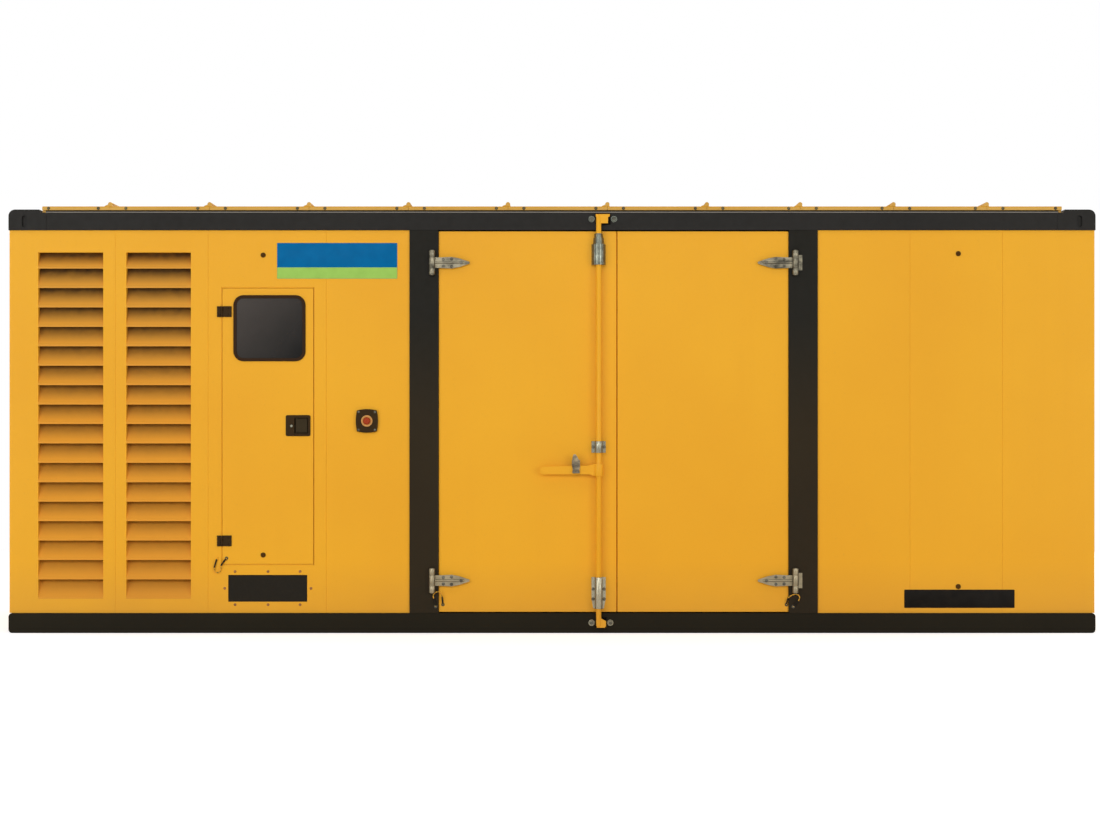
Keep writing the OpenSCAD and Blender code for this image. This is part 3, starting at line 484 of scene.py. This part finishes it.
class Piece:
    """Mesh under construction, in the frame of the solids."""

    def __init__(self):
        self.bm = bmesh.new()

    def lathe(self, place, axis, profile, segments=24, turn=0.0):
        """Turns (radius, height) points about an axis through place."""
        rot = Vector((0, 0, 1)).rotation_difference(Vector(axis)).to_matrix().to_4x4()
        m = Matrix.Translation(place) @ rot @ Matrix.Rotation(turn, 4, "Z")
        rings = []
        for r, h in profile:
            count = 1 if r < ON_AXIS else segments
            angles = [2 * math.pi * i / segments for i in range(count)]
            rings.append([self.bm.verts.new(m @ Vector((r * math.cos(a), r * math.sin(a), h))) for a in angles])
        for a, b in zip(rings, rings[1:]):
            for i in range(segments):
                j = (i + 1) % segments
                if len(a) > 1 and len(b) > 1:
                    self.bm.faces.new((a[i], a[j], b[j], b[i]))
                elif len(b) > 1:
                    self.bm.faces.new((a[0], b[j], b[i]))
                elif len(a) > 1:
                    self.bm.faces.new((a[i], a[j], b[0]))

    def hex_bolt(self, place, axis, r, turn=0.2):
        """Hexagon head with chamfered corners on a round washer."""
        self.lathe(place, axis, sized(WASHER, r))
        lift = Vector(axis).normalized() * r * WASHER[-1][1]
        self.lathe(Vector(place) + lift, axis, sized(HEX_HEAD, r), 6, turn)

    def dome_screw(self, place, axis, r, segments=24):
        """Domed head with a round recess on a thin washer."""
        self.lathe(place, axis, sized(DOME_HEAD, r), segments)

    def slab(self, outline, normal_axis, start, thick, bevel=0.0):
        """Outline of (u, v) points extruded along one axis; u and v are the other two axes in order."""
        others = [i for i in (X, Y, Z) if i != normal_axis]

        def at(p, d):
            v = Vector((0, 0, 0))
            v[others[0]], v[others[1]], v[normal_axis] = p[0], p[1], d
            return self.bm.verts.new(v)
        a = [at(p, start) for p in outline]
        b = [at(p, start + thick) for p in outline]
        faces = [self.bm.faces.new(a), self.bm.faces.new(b)]
        count = len(outline)
        for i in range(count):
            j = (i + 1) % count
            self.bm.faces.new((a[i], a[j], b[j], b[i]))
        if bevel:
            edges = {e for f in faces for e in f.edges}
            bmesh.ops.bevel(self.bm, geom=list(edges), offset=bevel, segments=2, affect="EDGES",
                            profile=0.6)

    def tube(self, path, r, segments=12):
        """Round tube along a list of points, with flat ends."""
        path = [Vector(p) for p in path]
        side = None
        rings = []
        for i, p in enumerate(path):
            t = (path[min(i + 1, len(path) - 1)] - path[max(i - 1, 0)]).normalized()
            if side is None:
                side = t.orthogonal().normalized()
            side = (side - t * side.dot(t)).normalized()
            up = t.cross(side)
            angles = [2 * math.pi * k / segments for k in range(segments)]
            rings.append([self.bm.verts.new(p + r * (math.cos(a) * side + math.sin(a) * up)) for a in angles])
        for a, b in zip(rings, rings[1:]):
            for k in range(segments):
                j = (k + 1) % segments
                self.bm.faces.new((a[k], a[j], b[j], b[k]))
        self.bm.faces.new(rings[0][::-1])
        self.bm.faces.new(rings[-1])

    def done(self, name, material, body=None, slot=None, sharp=35):
        """Makes the object; a piece without a body gets no parent, and its caller bakes its transform."""
        bmesh.ops.recalc_face_normals(self.bm, faces=self.bm.faces)
        mesh = bpy.data.meshes.new(name)
        self.bm.to_mesh(mesh)
        self.bm.free()
        mesh.shade_smooth()
        mesh.set_sharp_from_angle(angle=math.radians(sharp))
        mesh.materials.append(material)
        o = bpy.data.objects.new(name, mesh)
        scene.collection.objects.link(o)
        if body:
            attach(o, body)
        return o


def rect(u0, v0, u1, v1):
    return [(u0, v0), (u1, v0), (u1, v1), (u0, v1)]


def round_rect(u0, v0, u1, v1, r, steps=6):
    """Rectangle with round corners, each of so many steps."""
    points = []
    centres = rect(u0 + r, v0 + r, u1 - r, v1 - r)
    for (cu, cv), start in zip(centres, (180, 270, 0, 90)):
        for i in range(steps + 1):
            t = math.radians(start + 90 * i / steps)
            points.append((cu + r * math.cos(t), cv + r * math.sin(t)))
    return points


# Roof bolts beside each seam and at the ends, each head at its own angle
FIRST_SEAM, WIDE_SHEET, NARROW_SHEET = 0.374, 0.549, 0.515
BESIDE_SEAM = (-0.064, 0.088)
END_BOLT = 0.035
ROOF_BOLT = 0.0066
BOLT_Z = ROOF_Z + 0.024
wide_seams = [roof_low.x + FIRST_SEAM + i * WIDE_SHEET for i in range(7)]
SEAMS = wide_seams + [wide_seams[-1] + i * NARROW_SHEET for i in range(1, 4)]
bolt_x = [x + dx for x in SEAMS for dx in BESIDE_SEAM] + [roof_low.x + END_BOLT, roof_high.x - END_BOLT]
piece = Piece()
for i, x in enumerate(bolt_x):
    piece.hex_bolt((x, ROOF_Y, BOLT_Z), FRONT, ROOF_BOLT, 0.1 + 0.3 * i)
    piece.hex_bolt((x, -ROOF_Y, BOLT_Z), BACK, ROOF_BOLT, 0.4 + 0.3 * i)
piece.done("roof_bolts", DULL_BOLT, "enclosure", "zinc")

# Sealing tape, whose pale colour also stands in for the highlight on the rails' top edges, and foam under the
# roof's long edges; profiles as (y, z)
TAPE_PROFILE = ((0, 0), (0.010, 0), (0.010, 0.005), (0.007, 0.006), (0.003, 0.006), (0, 0.005))
FOAM_PROFILE = ((0, 0.007), (0.0088, 0.007), (0.0088, 0.013), (0.006, 0.0138), (0.003, 0.0138), (0, 0.013))
STRIP_END = 0.02
for name, material, profile, places in (
        ("roof_sealing_tape", TAPE_AND_HIGHLIGHT, TAPE_PROFILE, (ROOF_Y + 0.002, -ROOF_Y - 0.012)),
        ("roof_edge_foam", RUBBER, FOAM_PROFILE, (ROOF_Y + 0.005, -ROOF_Y - 0.0138))):
    piece = Piece()
    for y in places:
        piece.slab([(y + dy, ROOF_Z + dz) for dy, dz in profile], X,
                   roof_low.x + STRIP_END, roof_high.x - roof_low.x - 2 * STRIP_END)
    piece.done(name, material, "enclosure", "rubber")

# Screws round the cable entry
CABLE_SCREW = 0.006
piece = Piece()
for x in (-1.749, -1.567, -1.390):
    for z in (cable_low.z - 0.016, cable_high.z + 0.019):
        piece.dome_screw((x, PANEL_Y, z), FRONT, CABLE_SCREW)
for x in (cable_low.x - 0.019, cable_high.x + 0.021):
    piece.dome_screw((x, PANEL_Y, (cable_low.z + cable_high.z) / 2), FRONT, CABLE_SCREW)
piece.done("cable_entry_screws", BROWN_BOLT, "enclosure", "zinc")

# Round panel locks with a key recess
LOCK_PLACES = (("panel_locks", "enclosure", ((-1.594, 2.085), (2.242, 2.093), (2.242, 0.256))),
               ("control_door_lock", "control_door", ((-1.594, 0.430),)))
for name, body, places in LOCK_PLACES:
    piece = Piece()
    for x, z in places:
        piece.lathe((x, PANEL_Y, z), FRONT, PANEL_LOCK, 30)
    piece.done(name, LOCK, body, "fittings")

# Yellow ring and corner screws of the stop button
stop_x, stop_z = (housing_low.x + housing_high.x) / 2, (housing_low.z + housing_high.z) / 2
piece = Piece()
piece.lathe((stop_x, housing_low.y, stop_z), FRONT, STOP_RING, 40)
piece.done("stop_ring", RING, "enclosure", "fittings")
piece = Piece()
for dx in (-0.045, 0.045):
    for dz in (-0.049, 0.049):
        piece.dome_screw((stop_x + dx, housing_low.y, stop_z + dz), FRONT, 0.0048)
piece.done("stop_screws", BOLT, "enclosure", "zinc")

# Bolts of the hinge straps: places along and up from the pin, and how far behind its axis they sit
STRAP_BOLTS = ((0.107, 0.020), (0.107, -0.020), (0.062, 0.018), (0.062, -0.018), (0.160, 0.0))
FLANK_SEAT, RIDGE_SEAT = 0.010, 0.004
STRAPS = (("left_door", LEFT_PIN_X, 1), ("right_door", RIGHT_PIN_X, -1))


def strap_bolts(piece, pin_x, way, side):
    """Bolts of two straps that point along x; side is 1 on the front and -1 on the rear."""
    for z in HINGE_Z:
        for dx, dz in STRAP_BOLTS:
            y = PIN_Y + (FLANK_SEAT if dz else RIDGE_SEAT)
            piece.dome_screw((pin_x + way * dx, side * y, z + dz), FRONT if side > 0 else BACK, 0.0068)


rear_bolts = Piece()
for body, pin_x, way in STRAPS:
    piece = Piece()
    strap_bolts(piece, pin_x, way, 1)
    piece.done(body + "_hinge_bolts", BOLT, body, "zinc")
    strap_bolts(rear_bolts, pin_x, way, -1)
rear_bolts.done("rear_hinge_bolts", BOLT, "enclosure", "zinc")

# Bolts of the lock bar's guides (foot, height, bolts up the height) and keepers (beside the bar, height)
GUIDES = ((0.995, 0.063, (0.5,)), (0.136, 0.172, (0.3, 0.62)))
KEEPERS = ((-0.039, 2.283), (0.085, 2.283), (-0.039, 0.057), (0.064, 0.057))
GUIDE_FACE = PANEL_Y - 0.006
KEEPER_FACE = RAIL_Y - 0.017


def guide_bolts(piece, y, axis):
    for foot, height, shares in GUIDES:
        for dx in (-0.0305, 0.0305):
            for share in shares:
                piece.hex_bolt((BAR_X + dx, y, foot + height * share), axis, 0.0068, dx * 20)


def keeper_bolts(piece, y, axis):
    for dx, z in KEEPERS:
        piece.hex_bolt((BAR_X + dx, y, z), axis, 0.0072, dx * 9)


piece = Piece()
guide_bolts(piece, GUIDE_FACE, FRONT)
piece.done("guide_bolts", BOLT, "left_door", "zinc")
piece = Piece()
keeper_bolts(piece, KEEPER_FACE, FRONT)
piece.done("keeper_bolts", BOLT, "enclosure", "zinc")
piece = Piece()
guide_bolts(piece, -GUIDE_FACE, BACK)
keeper_bolts(piece, -KEEPER_FACE, BACK)
piece.done("rear_lock_bolts", BOLT, "enclosure", "zinc")

# Key cylinder of the latch
piece = Piece()
piece.lathe((latch_low.x + 0.031, latch_low.y, 1.142), FRONT, KEY_CYLINDER, 28)
piece.done("latch_key", ZINC, "control_door", "zinc")

# Screws of the control door's hinges, and pads under their knuckles, beside the pin
HINGE_PLATE_Y = PANEL_Y - 0.006
PAD_LOW, PAD_HIGH, PAD_T = 0.0005, 0.0295, 0.001
door_screws, frame_screws = Piece(), Piece()
door_pads, frame_pads = Piece(), Piece()
for z in CONTROL_HINGE_Z:
    for dz in (-0.017, 0.017):
        door_screws.dome_screw((CONTROL_PIN_X + 0.036, HINGE_PLATE_Y, z + dz), FRONT, 0.0045)
        frame_screws.dome_screw((CONTROL_PIN_X - 0.018, HINGE_PLATE_Y, z + dz), FRONT, 0.0042)
    for pads, x0, x1, z0, z1 in ((frame_pads, -0.0084, -0.0044, z - PAD_HIGH, z - PAD_LOW),
                                 (door_pads, 0.0036, 0.0084, z + PAD_LOW, z + PAD_HIGH)):
        pads.slab(round_rect(CONTROL_PIN_X + x0, z0, CONTROL_PIN_X + x1, z1, 0.001, 2), Y,
                  PANEL_Y - PAD_T, PAD_T, 0.0003)
door_screws.done("control_hinge_screws", FITTING, "control_door", "fittings")
frame_screws.done("control_frame_screws", FITTING, "enclosure", "fittings")
frame_pads.done("control_hinge_pads", FITTING, "enclosure", "fittings")
door_pads.done("control_door_hinge_pads", FITTING, "control_door", "fittings")

# Blank plates: corners, corner radius, how far the front stands proud, thickness and edge rounding
PLATES = (
    ("blank_plate", PLATE_BLUE, "yellow", (-1.517, 1.955, -0.854, 2.152), 0.003, 0.0016, 0.0016, 0.0005),
    ("blank_plate_band", PLATE_GREEN, "yellow", (-1.5165, 1.9555, -0.8545, 2.017), 0.0025, 0.0020, 0.0004, 0.0),
    ("blank_strip", PLATE_BLACK, "black", (1.944, 0.138, 2.553, 0.239), 0.004, 0.0014, 0.0014, 0.0004),
)
for name, material, slot, corners, radius, proud, thick, edge in PLATES:
    piece = Piece()
    piece.slab(round_rect(*corners, radius), Y, PANEL_Y - proud, thick, edge)
    piece.done(name, material, "enclosure", slot)


def seal_bar(piece, x0, z0, x1, z1, y, thick):
    """Strip of soft seal with a rounded front."""
    width = min(x1 - x0, z1 - z0)
    piece.slab(round_rect(x0, z0, x1, z1, 0.4 * width, 3), Y, y, thick, 0.2 * min(width, thick))


# Seal round the control door: its outer edge, and its gaps to the leaf on the latch side and elsewhere
SEAL_OUT, LATCH_GAP, SEAL_GAP = 0.006, 0.0036, 0.0014
SEAL_DEEP = 0.0125
SEAL_Y = PANEL_Y + 0.003
low, high = control_low, control_high
piece = Piece()
for corners in ((low.x - SEAL_OUT, low.z - SEAL_OUT, low.x - SEAL_GAP, high.z + SEAL_OUT),
                (high.x + LATCH_GAP, low.z - SEAL_OUT, high.x + SEAL_OUT, high.z + SEAL_OUT),
                (low.x - 0.001, low.z - SEAL_OUT, high.x + 0.002, low.z - SEAL_GAP),
                (low.x - 0.001, high.z + SEAL_GAP, high.x + 0.002, high.z + SEAL_OUT)):
    seal_bar(piece, *corners, SEAL_Y, SEAL_DEEP)
piece.done("control_door_seal", YELLOW, "enclosure", "yellow")

# Seal on the stops of the front doorway
INSET, STOP_SEAL_W, STOP_SEAL_T = 0.008, 0.018, 0.0045
FAR_SIDE = INSET + STOP_SEAL_W
BETWEEN = FAR_SIDE + 0.001
low, high = stops_low, stops_high
piece = Piece()
for x in (low.x + INSET, high.x - FAR_SIDE):
    seal_bar(piece, x, low.z + INSET, x + STOP_SEAL_W, high.z - INSET, low.y - STOP_SEAL_T, STOP_SEAL_T)
for z in (low.z + INSET, high.z - FAR_SIDE):
    seal_bar(piece, low.x + BETWEEN, z, high.x - BETWEEN, z + STOP_SEAL_W, low.y - STOP_SEAL_T, STOP_SEAL_T)
piece.done("doorway_seal", RUBBER, "enclosure", "rubber")

# Seal where the front leaves meet, painted dark orange as the shade in their gap
MEETING_SEAL = 0.0042
piece = Piece()
seal_bar(piece, left_high.x, left_low.z + 0.004, left_high.x + MEETING_SEAL, left_high.z - 0.004,
         PANEL_Y + 0.005, 0.016)
piece.done("meeting_seal", SHADED_SEAL, "left_door", "yellow")

# Seals behind the rear leaves: uprights, and bars between them
REAR_SEAL_Y, REAR_SEAL_T = rear_low.y - 0.0065, 0.006
UPRIGHT_W, BAR_H = 0.036, 0.030
low, high, middle = rear_low, rear_high, right_low.x
piece = Piece()
for x in (low.x - 0.005, middle - 0.021, high.x - 0.030):
    seal_bar(piece, x, low.z - 0.004, x + UPRIGHT_W, high.z + 0.004, REAR_SEAL_Y, REAR_SEAL_T)
for z in (low.z - 0.005, high.z - 0.025):
    for x0, x1 in ((low.x + 0.032, middle - 0.022), (middle + 0.016, high.x - 0.031)):
        seal_bar(piece, x0, z, x1, z + BAR_H, REAR_SEAL_Y, REAR_SEAL_T)
piece.done("rear_door_seals", RUBBER, "enclosure", "rubber")

# Folded pockets behind the slots of the rails, where the cams turn in: x and z of the slots, y of the pockets
CAM_SLOTS = ((0.239, 0.324, 2.251, 2.3118), (0.239, 0.303, 0.025, 0.089))
POCKETS = ((-1.0938, -1.056), (1.056, 1.0938))
FOLD = 0.0012
piece = Piece()
for x0, x1, z0, z1 in CAM_SLOTS:
    for y0, y1 in POCKETS:
        deep = y1 if y0 < 0 else y0 - FOLD
        piece.slab(rect(x0 - FOLD, z0 - FOLD, x1 + FOLD, z1 + FOLD), Y, deep, FOLD)
        for x in (x0 - FOLD, x1):
            piece.slab(rect(y0, z0, y1, z1), X, x, FOLD)
        for z in (z0 - FOLD, z1):
            piece.slab(rect(x0 - FOLD, y0, x1 + FOLD, y1), Z, z, FOLD)
piece.done("cam_pockets", BLACK, "enclosure", "black")

# Domed heads on the hinge pins
PIN_REACH = 0.066
piece = Piece()
for x in (LEFT_PIN_X, RIGHT_PIN_X):
    for y in (PIN_Y, -PIN_Y):
        for z in HINGE_Z:
            for way in (-1, 1):
                piece.lathe((x, y, z + way * PIN_REACH), (0, 0, way), PIN_HEAD)
piece.done("hinge_pin_heads", STRAP, "enclosure", "zinc")

# Beads of sealer in the joints between the panels
BEAD = 0.00045
BEAD_END = 0.002
piece = Piece()
for x in (LOUVRE_JOINT, CONTROL_JOINT, STOP_JOINT, *PLAIN_JOINTS):
    for face, way in ((PANEL_Y, 1), (-PANEL_Y, -1)):
        crown, shoulder, root = face + way * 0.0006, face + way * 0.0010, face + way * 0.006
        profile = [(x - BEAD, shoulder), (x, crown), (x + BEAD, shoulder), (x + BEAD, root), (x - BEAD, root)]
        piece.slab(profile, Z, BASE_Z + BEAD_END, WALL_TOP - BASE_Z - 2 * BEAD_END)
piece.done("panel_joint_beads", YELLOW, "enclosure", "yellow")

# Edge strips on the hinge side of the front leaves
EDGE_STRIP = 0.0045
for body, x in (("left_door", left_low.x - EDGE_STRIP), ("right_door", right_high.x)):
    piece = Piece()
    outline = round_rect(x, left_low.z + 0.001, x + EDGE_STRIP, left_high.z - 0.001, 0.001, 2)
    piece.slab(outline, Y, PANEL_Y + 0.0006, 0.012, 0.0006)
    piece.done(body + "_edge_strip", YELLOW, body, "yellow")

# Perforated lining sheets with screwed edges
SHEET_T = 0.002
SCREW_EDGE = 0.012
SCREW_PITCH = 0.3
LINING_SCREW = 0.004


def lining(piece, screws, axis, face, way, u0, v0, u1, v1, edge=0.03):
    """Sheet on the face of a wall, inside a bare edge; way is the side that it shows to the inside."""
    u0, v0, u1, v1 = u0 + edge, v0 + edge, u1 - edge, v1 - edge
    piece.slab(round_rect(u0, v0, u1, v1, 0.012, 3), axis, face if way > 0 else face - SHEET_T, SHEET_T, 0.0006)
    across, up = (max(2, round(size / SCREW_PITCH)) for size in (u1 - u0, v1 - v0))
    u0, v0, u1, v1 = u0 + SCREW_EDGE, v0 + SCREW_EDGE, u1 - SCREW_EDGE, v1 - SCREW_EDGE
    spots = [(u0 + (u1 - u0) * i / across, v) for i in range(across + 1) for v in (v0, v1)]
    spots += [(u, v0 + (v1 - v0) * i / up) for i in range(1, up) for u in (u0, u1)]
    others = [i for i in (X, Y, Z) if i != axis]
    normal = [0, 0, 0]
    normal[axis] = way
    for u, v in spots:
        place = [0, 0, 0]
        place[others[0]], place[others[1]], place[axis] = u, v, face + way * SHEET_T
        screws.dome_screw(place, normal, LINING_SCREW, 12)


screws = Piece()
walls = Piece()
lining(walls, screws, Y, -WALL_IN, 1, STOP_JOINT, BASE_Z, LEFT_POST, WALL_TOP)
plain_lines = (RIGHT_POST, *PLAIN_JOINTS, LAST_LINE)
for a, b in zip(plain_lines, plain_lines[1:]):
    lining(walls, screws, Y, -WALL_IN, 1, a, BASE_Z, b, WALL_TOP)
    lining(walls, screws, Y, WALL_IN, -1, a, BASE_Z, b, WALL_TOP)
for a, b in ((CONTROL_JOINT, STOP_JOINT), (STOP_JOINT, LEFT_POST)):
    lining(walls, screws, Y, WALL_IN, -1, a, BASE_Z, b, WALL_TOP)
for x0, x1 in ((rear_low.x, right_low.x - 0.006), (right_low.x, rear_high.x)):
    lining(walls, screws, Y, rear_low.y, -1, x0, rear_low.z, x1, rear_high.z, 0.045)
walls.done("wall_linings", LONG_LINING, "enclosure", "zinc")
ends = Piece()
for i in range(4):
    start, end = (-WALL_IN + k * WALL_IN / 2 for k in (i, i + 1))
    lining(ends, screws, X, END_IN, 1, start, BASE_Z, end, WALL_TOP)
ends.done("end_linings", END_LINING, "enclosure", "zinc")
under = Piece()
roof_lines = [roof_low.x + 0.05] + SEAMS + [roof_high.x - 0.05]
for a, b in zip(roof_lines, roof_lines[1:]):
    lining(under, screws, Z, ROOF_Z, -1, a, -WALL_IN + 0.03, b, WALL_IN - 0.03, 0.012)
under.done("roof_linings", ROOF_LINING, "enclosure", "zinc")
screws.done("lining_screws", BOLT, "enclosure", "zinc")
for body, low, high in (("left_door", left_low, left_high), ("right_door", right_low, right_high)):
    sheet, screws = Piece(), Piece()
    lining(sheet, screws, Y, high.y, 1, low.x, low.z, high.x, high.z, 0.050)
    sheet.done(body + "_lining", LONG_LINING, body, "zinc")
    screws.done(body + "_lining_screws", BOLT, body, "zinc")


# Bonding leads from the frame to the doors
def smooth(points, steps=6):
    """Even curve that starts and ends at the outer points and is drawn towards the others."""
    points = [Vector(p) for p in points]
    ends = [2 * points[0] - points[1]] + points + [2 * points[-1] - points[-2]]
    line = []
    for a, b, c, d in zip(ends, ends[1:], ends[2:], ends[3:]):
        for i in range(steps):
            t = i / steps
            line.append(((1 - t) ** 3 * a + (3 * t ** 3 - 6 * t * t + 4) * b
                         + (-3 * t ** 3 + 3 * t * t + 3 * t + 1) * c + t ** 3 * d) / 6)
    return line + [points[-1]]


def length_of(line):
    return sum((b - a).length for a, b in zip(line, line[1:]))


def part_of(line, start, end):
    """Points of a line between two distances along it."""
    out, run = [], 0.0
    for a, b in zip(line, line[1:]):
        step = (b - a).length
        for i in range(4):
            here = run + step * i / 4
            if start <= here <= end:
                out.append(a + (b - a) * i / 4)
        run += step
    return out


LEAD_R, SLEEVE_R = 0.003, 0.0044
LEAD_OFF = 0.006
SLEEVE_START = 0.004
LUG_T = 0.002


def bonding_lead(name, door, face, route, door_end, sleeve, frame_bolt):
    """Lead from a bolt on a face of the enclosure to a bolt on a door, with sleeved ring ends.

    route has the points (x, depth from the lead's plane on that face, z), door_end is (x, z)."""
    points = [(x, face - LEAD_OFF + dy, z) for x, dy, z in route]
    points.append((door_end[0], PANEL_Y - LEAD_OFF, door_end[1]))
    line = smooth(points)
    total = length_of(line)
    a, b = points[0], points[-1]
    wire = Piece()
    wire.tube(line, LEAD_R)
    o = wire.done(name, LEAD, slot="yellow")
    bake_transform(o)
    for end, (s0, s1) in (("post", (SLEEVE_START, sleeve)), ("door", (total - sleeve, total - SLEEVE_START))):
        cover = Piece()
        cover.tube(part_of(line, s0, s1), SLEEVE_R)
        o = cover.done(name + "_" + end + "_sleeve", RUBBER, slot="rubber")
        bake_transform(o)
    for body, (x, _, z), seat, bolt in (("enclosure", a, face, frame_bolt), (door, b, PANEL_Y, DULL_BOLT)):
        lug = Piece()
        lug.lathe((x, seat, z), FRONT, LEAD_LUG)
        lug.hex_bolt((x, seat - LUG_T, z), FRONT, 0.0062, 0.3)
        lug.done(name + "_" + body + "_lug", bolt, body, "zinc")


bonding_lead("left_door_lead", "left_door", RAIL_Y,
             ((-0.641, 0, 0.147), (-0.642, -0.002, 0.170), (-0.653, -0.004, 0.190), (-0.6565, -0.004, 0.216),
              (-0.633, -0.004, 0.232), (-0.6095, -0.002, 0.225), (-0.6065, 0.003, 0.201),
              (-0.604, 0.008, 0.180)), (-0.602, 0.157), 0.046, BOLT)
bonding_lead("right_door_lead", "right_door", RAIL_Y,
             ((1.330, 0, 0.146), (1.341, -0.002, 0.164), (1.362, -0.004, 0.179), (1.368, -0.004, 0.206),
              (1.345, -0.004, 0.2175), (1.321, -0.003, 0.210), (1.303, 0, 0.197),
              (1.296, 0.005, 0.177)), (1.2935, 0.156), 0.042, BOLT)
bonding_lead("control_door_lead", "control_door", PANEL_Y,
             ((-1.8495, 0, 0.410), (-1.854, -0.002, 0.391), (-1.861, -0.003, 0.370), (-1.865, -0.003, 0.341),
              (-1.8435, -0.003, 0.328), (-1.823, -0.003, 0.345), (-1.828, -0.003, 0.370),
              (-1.814, -0.003, 0.391)), (-1.796, 0.412), 0.052, YELLOW)


# Floor and background, which look white in the picture, in gloss and through glass
def seen_rays(tree):
    """1 for the rays that show a surface to the camera, in gloss or through glass."""
    path = tree.nodes.new("ShaderNodeLightPath")
    seen = path.outputs["Is Camera Ray"]
    for other in ("Is Glossy Ray", "Is Transmission Ray"):
        node = tree.nodes.new("ShaderNodeMath")
        node.operation = "MAXIMUM"
        tree.links.new(seen, node.inputs[0])
        tree.links.new(path.outputs[other], node.inputs[1])
        seen = node.outputs[0]
    return seen


def choose(tree, factor, a, b):
    """Shader a where the factor is 0, and b where it is 1."""
    node = tree.nodes.new("ShaderNodeMixShader")
    for source, socket in zip((factor, a, b), node.inputs):
        tree.links.new(source, socket)
    return node.outputs[0]


FLOOR_R = 9.0
FLOOR_SIDES = 72
FLOOR_DROP = 0.0005
FLOOR_GLOW = 0.55
floor = bpy.data.meshes.new("floor")
angles = [math.radians(360 / FLOOR_SIDES * i) for i in range(FLOOR_SIDES)]
floor.from_pydata([(FLOOR_R * math.cos(a), FLOOR_R * math.sin(a), 0) for a in angles],
                  [], [tuple(range(FLOOR_SIDES))])
floor_object = bpy.data.objects.new("floor", floor)
floor_object.location.z = -FLOOR_DROP
scene.collection.objects.link(floor_object)
n = Nodes("pale_floor")
n.shade(Base_Color=(0.86, 0.86, 0.86, 1), Roughness=0.9, Specular_IOR_Level=0.0)
glow = n.add("Emission")
glow.inputs["Strength"].default_value = FLOOR_GLOW
bright = n.add("AddShader")
n.link(n.shader.outputs[0], bright.inputs[0])
n.link(glow.outputs[0], bright.inputs[1])
n.link(choose(n.tree, seen_rays(n.tree), n.shader.outputs[0], bright.outputs[0]), n.out.inputs[0])
floor.materials.append(n.material)

world = bpy.data.worlds.new("studio")
scene.world = world
world.use_nodes = True
tree = world.node_tree
tree.nodes.clear()
skies = []
for colour, strength in (((1.0, 0.99, 0.97, 1), 0.25), ((1, 1, 1, 1), 1.0)):
    sky = tree.nodes.new("ShaderNodeBackground")
    sky.inputs["Color"].default_value = colour
    sky.inputs["Strength"].default_value = strength
    skies.append(sky.outputs[0])
out = tree.nodes.new("ShaderNodeOutputWorld")
tree.links.new(choose(tree, seen_rays(tree), *skies), out.inputs[0])

# Studio lamps: place, target, size in metres and power in watts
FRONT_MIDDLE = (0, -1.1, 1.1)
LAMPS = (
    ("key", (-1.5, -13.0, 5.4), FRONT_MIDDLE, (11, 3.2), 430),
    ("front_left", (-8.5, -11.0, 2.2), FRONT_MIDDLE, (4.5, 3.6), 270),
    ("front_right", (8.5, -11.0, 2.2), FRONT_MIDDLE, (4.5, 3.6), 270),
    ("top", (0.0, -5.0, 9.0), (0, -0.8, 1.2), (9, 3), 80),
    ("back", (3.0, 9.0, 7.0), (0, 1.0, 1.0), (9, 5), 470),
    ("left_side", (-11.0, 0.0, 4.5), (-3, 0, 1.2), (5, 5), 300),
    ("right_side", (11.0, 0.0, 4.5), (3, 0, 1.2), (5, 5), 300),
)
for name, place, target, size, power in LAMPS:
    light = bpy.data.lights.new(name, "AREA")
    light.shape = "RECTANGLE"
    light.size, light.size_y = size
    light.energy = power
    o = bpy.data.objects.new(name, light)
    o.location = place
    o.rotation_euler = (Vector(target) - Vector(place)).to_track_quat("-Z", "Y").to_euler()
    scene.collection.objects.link(o)
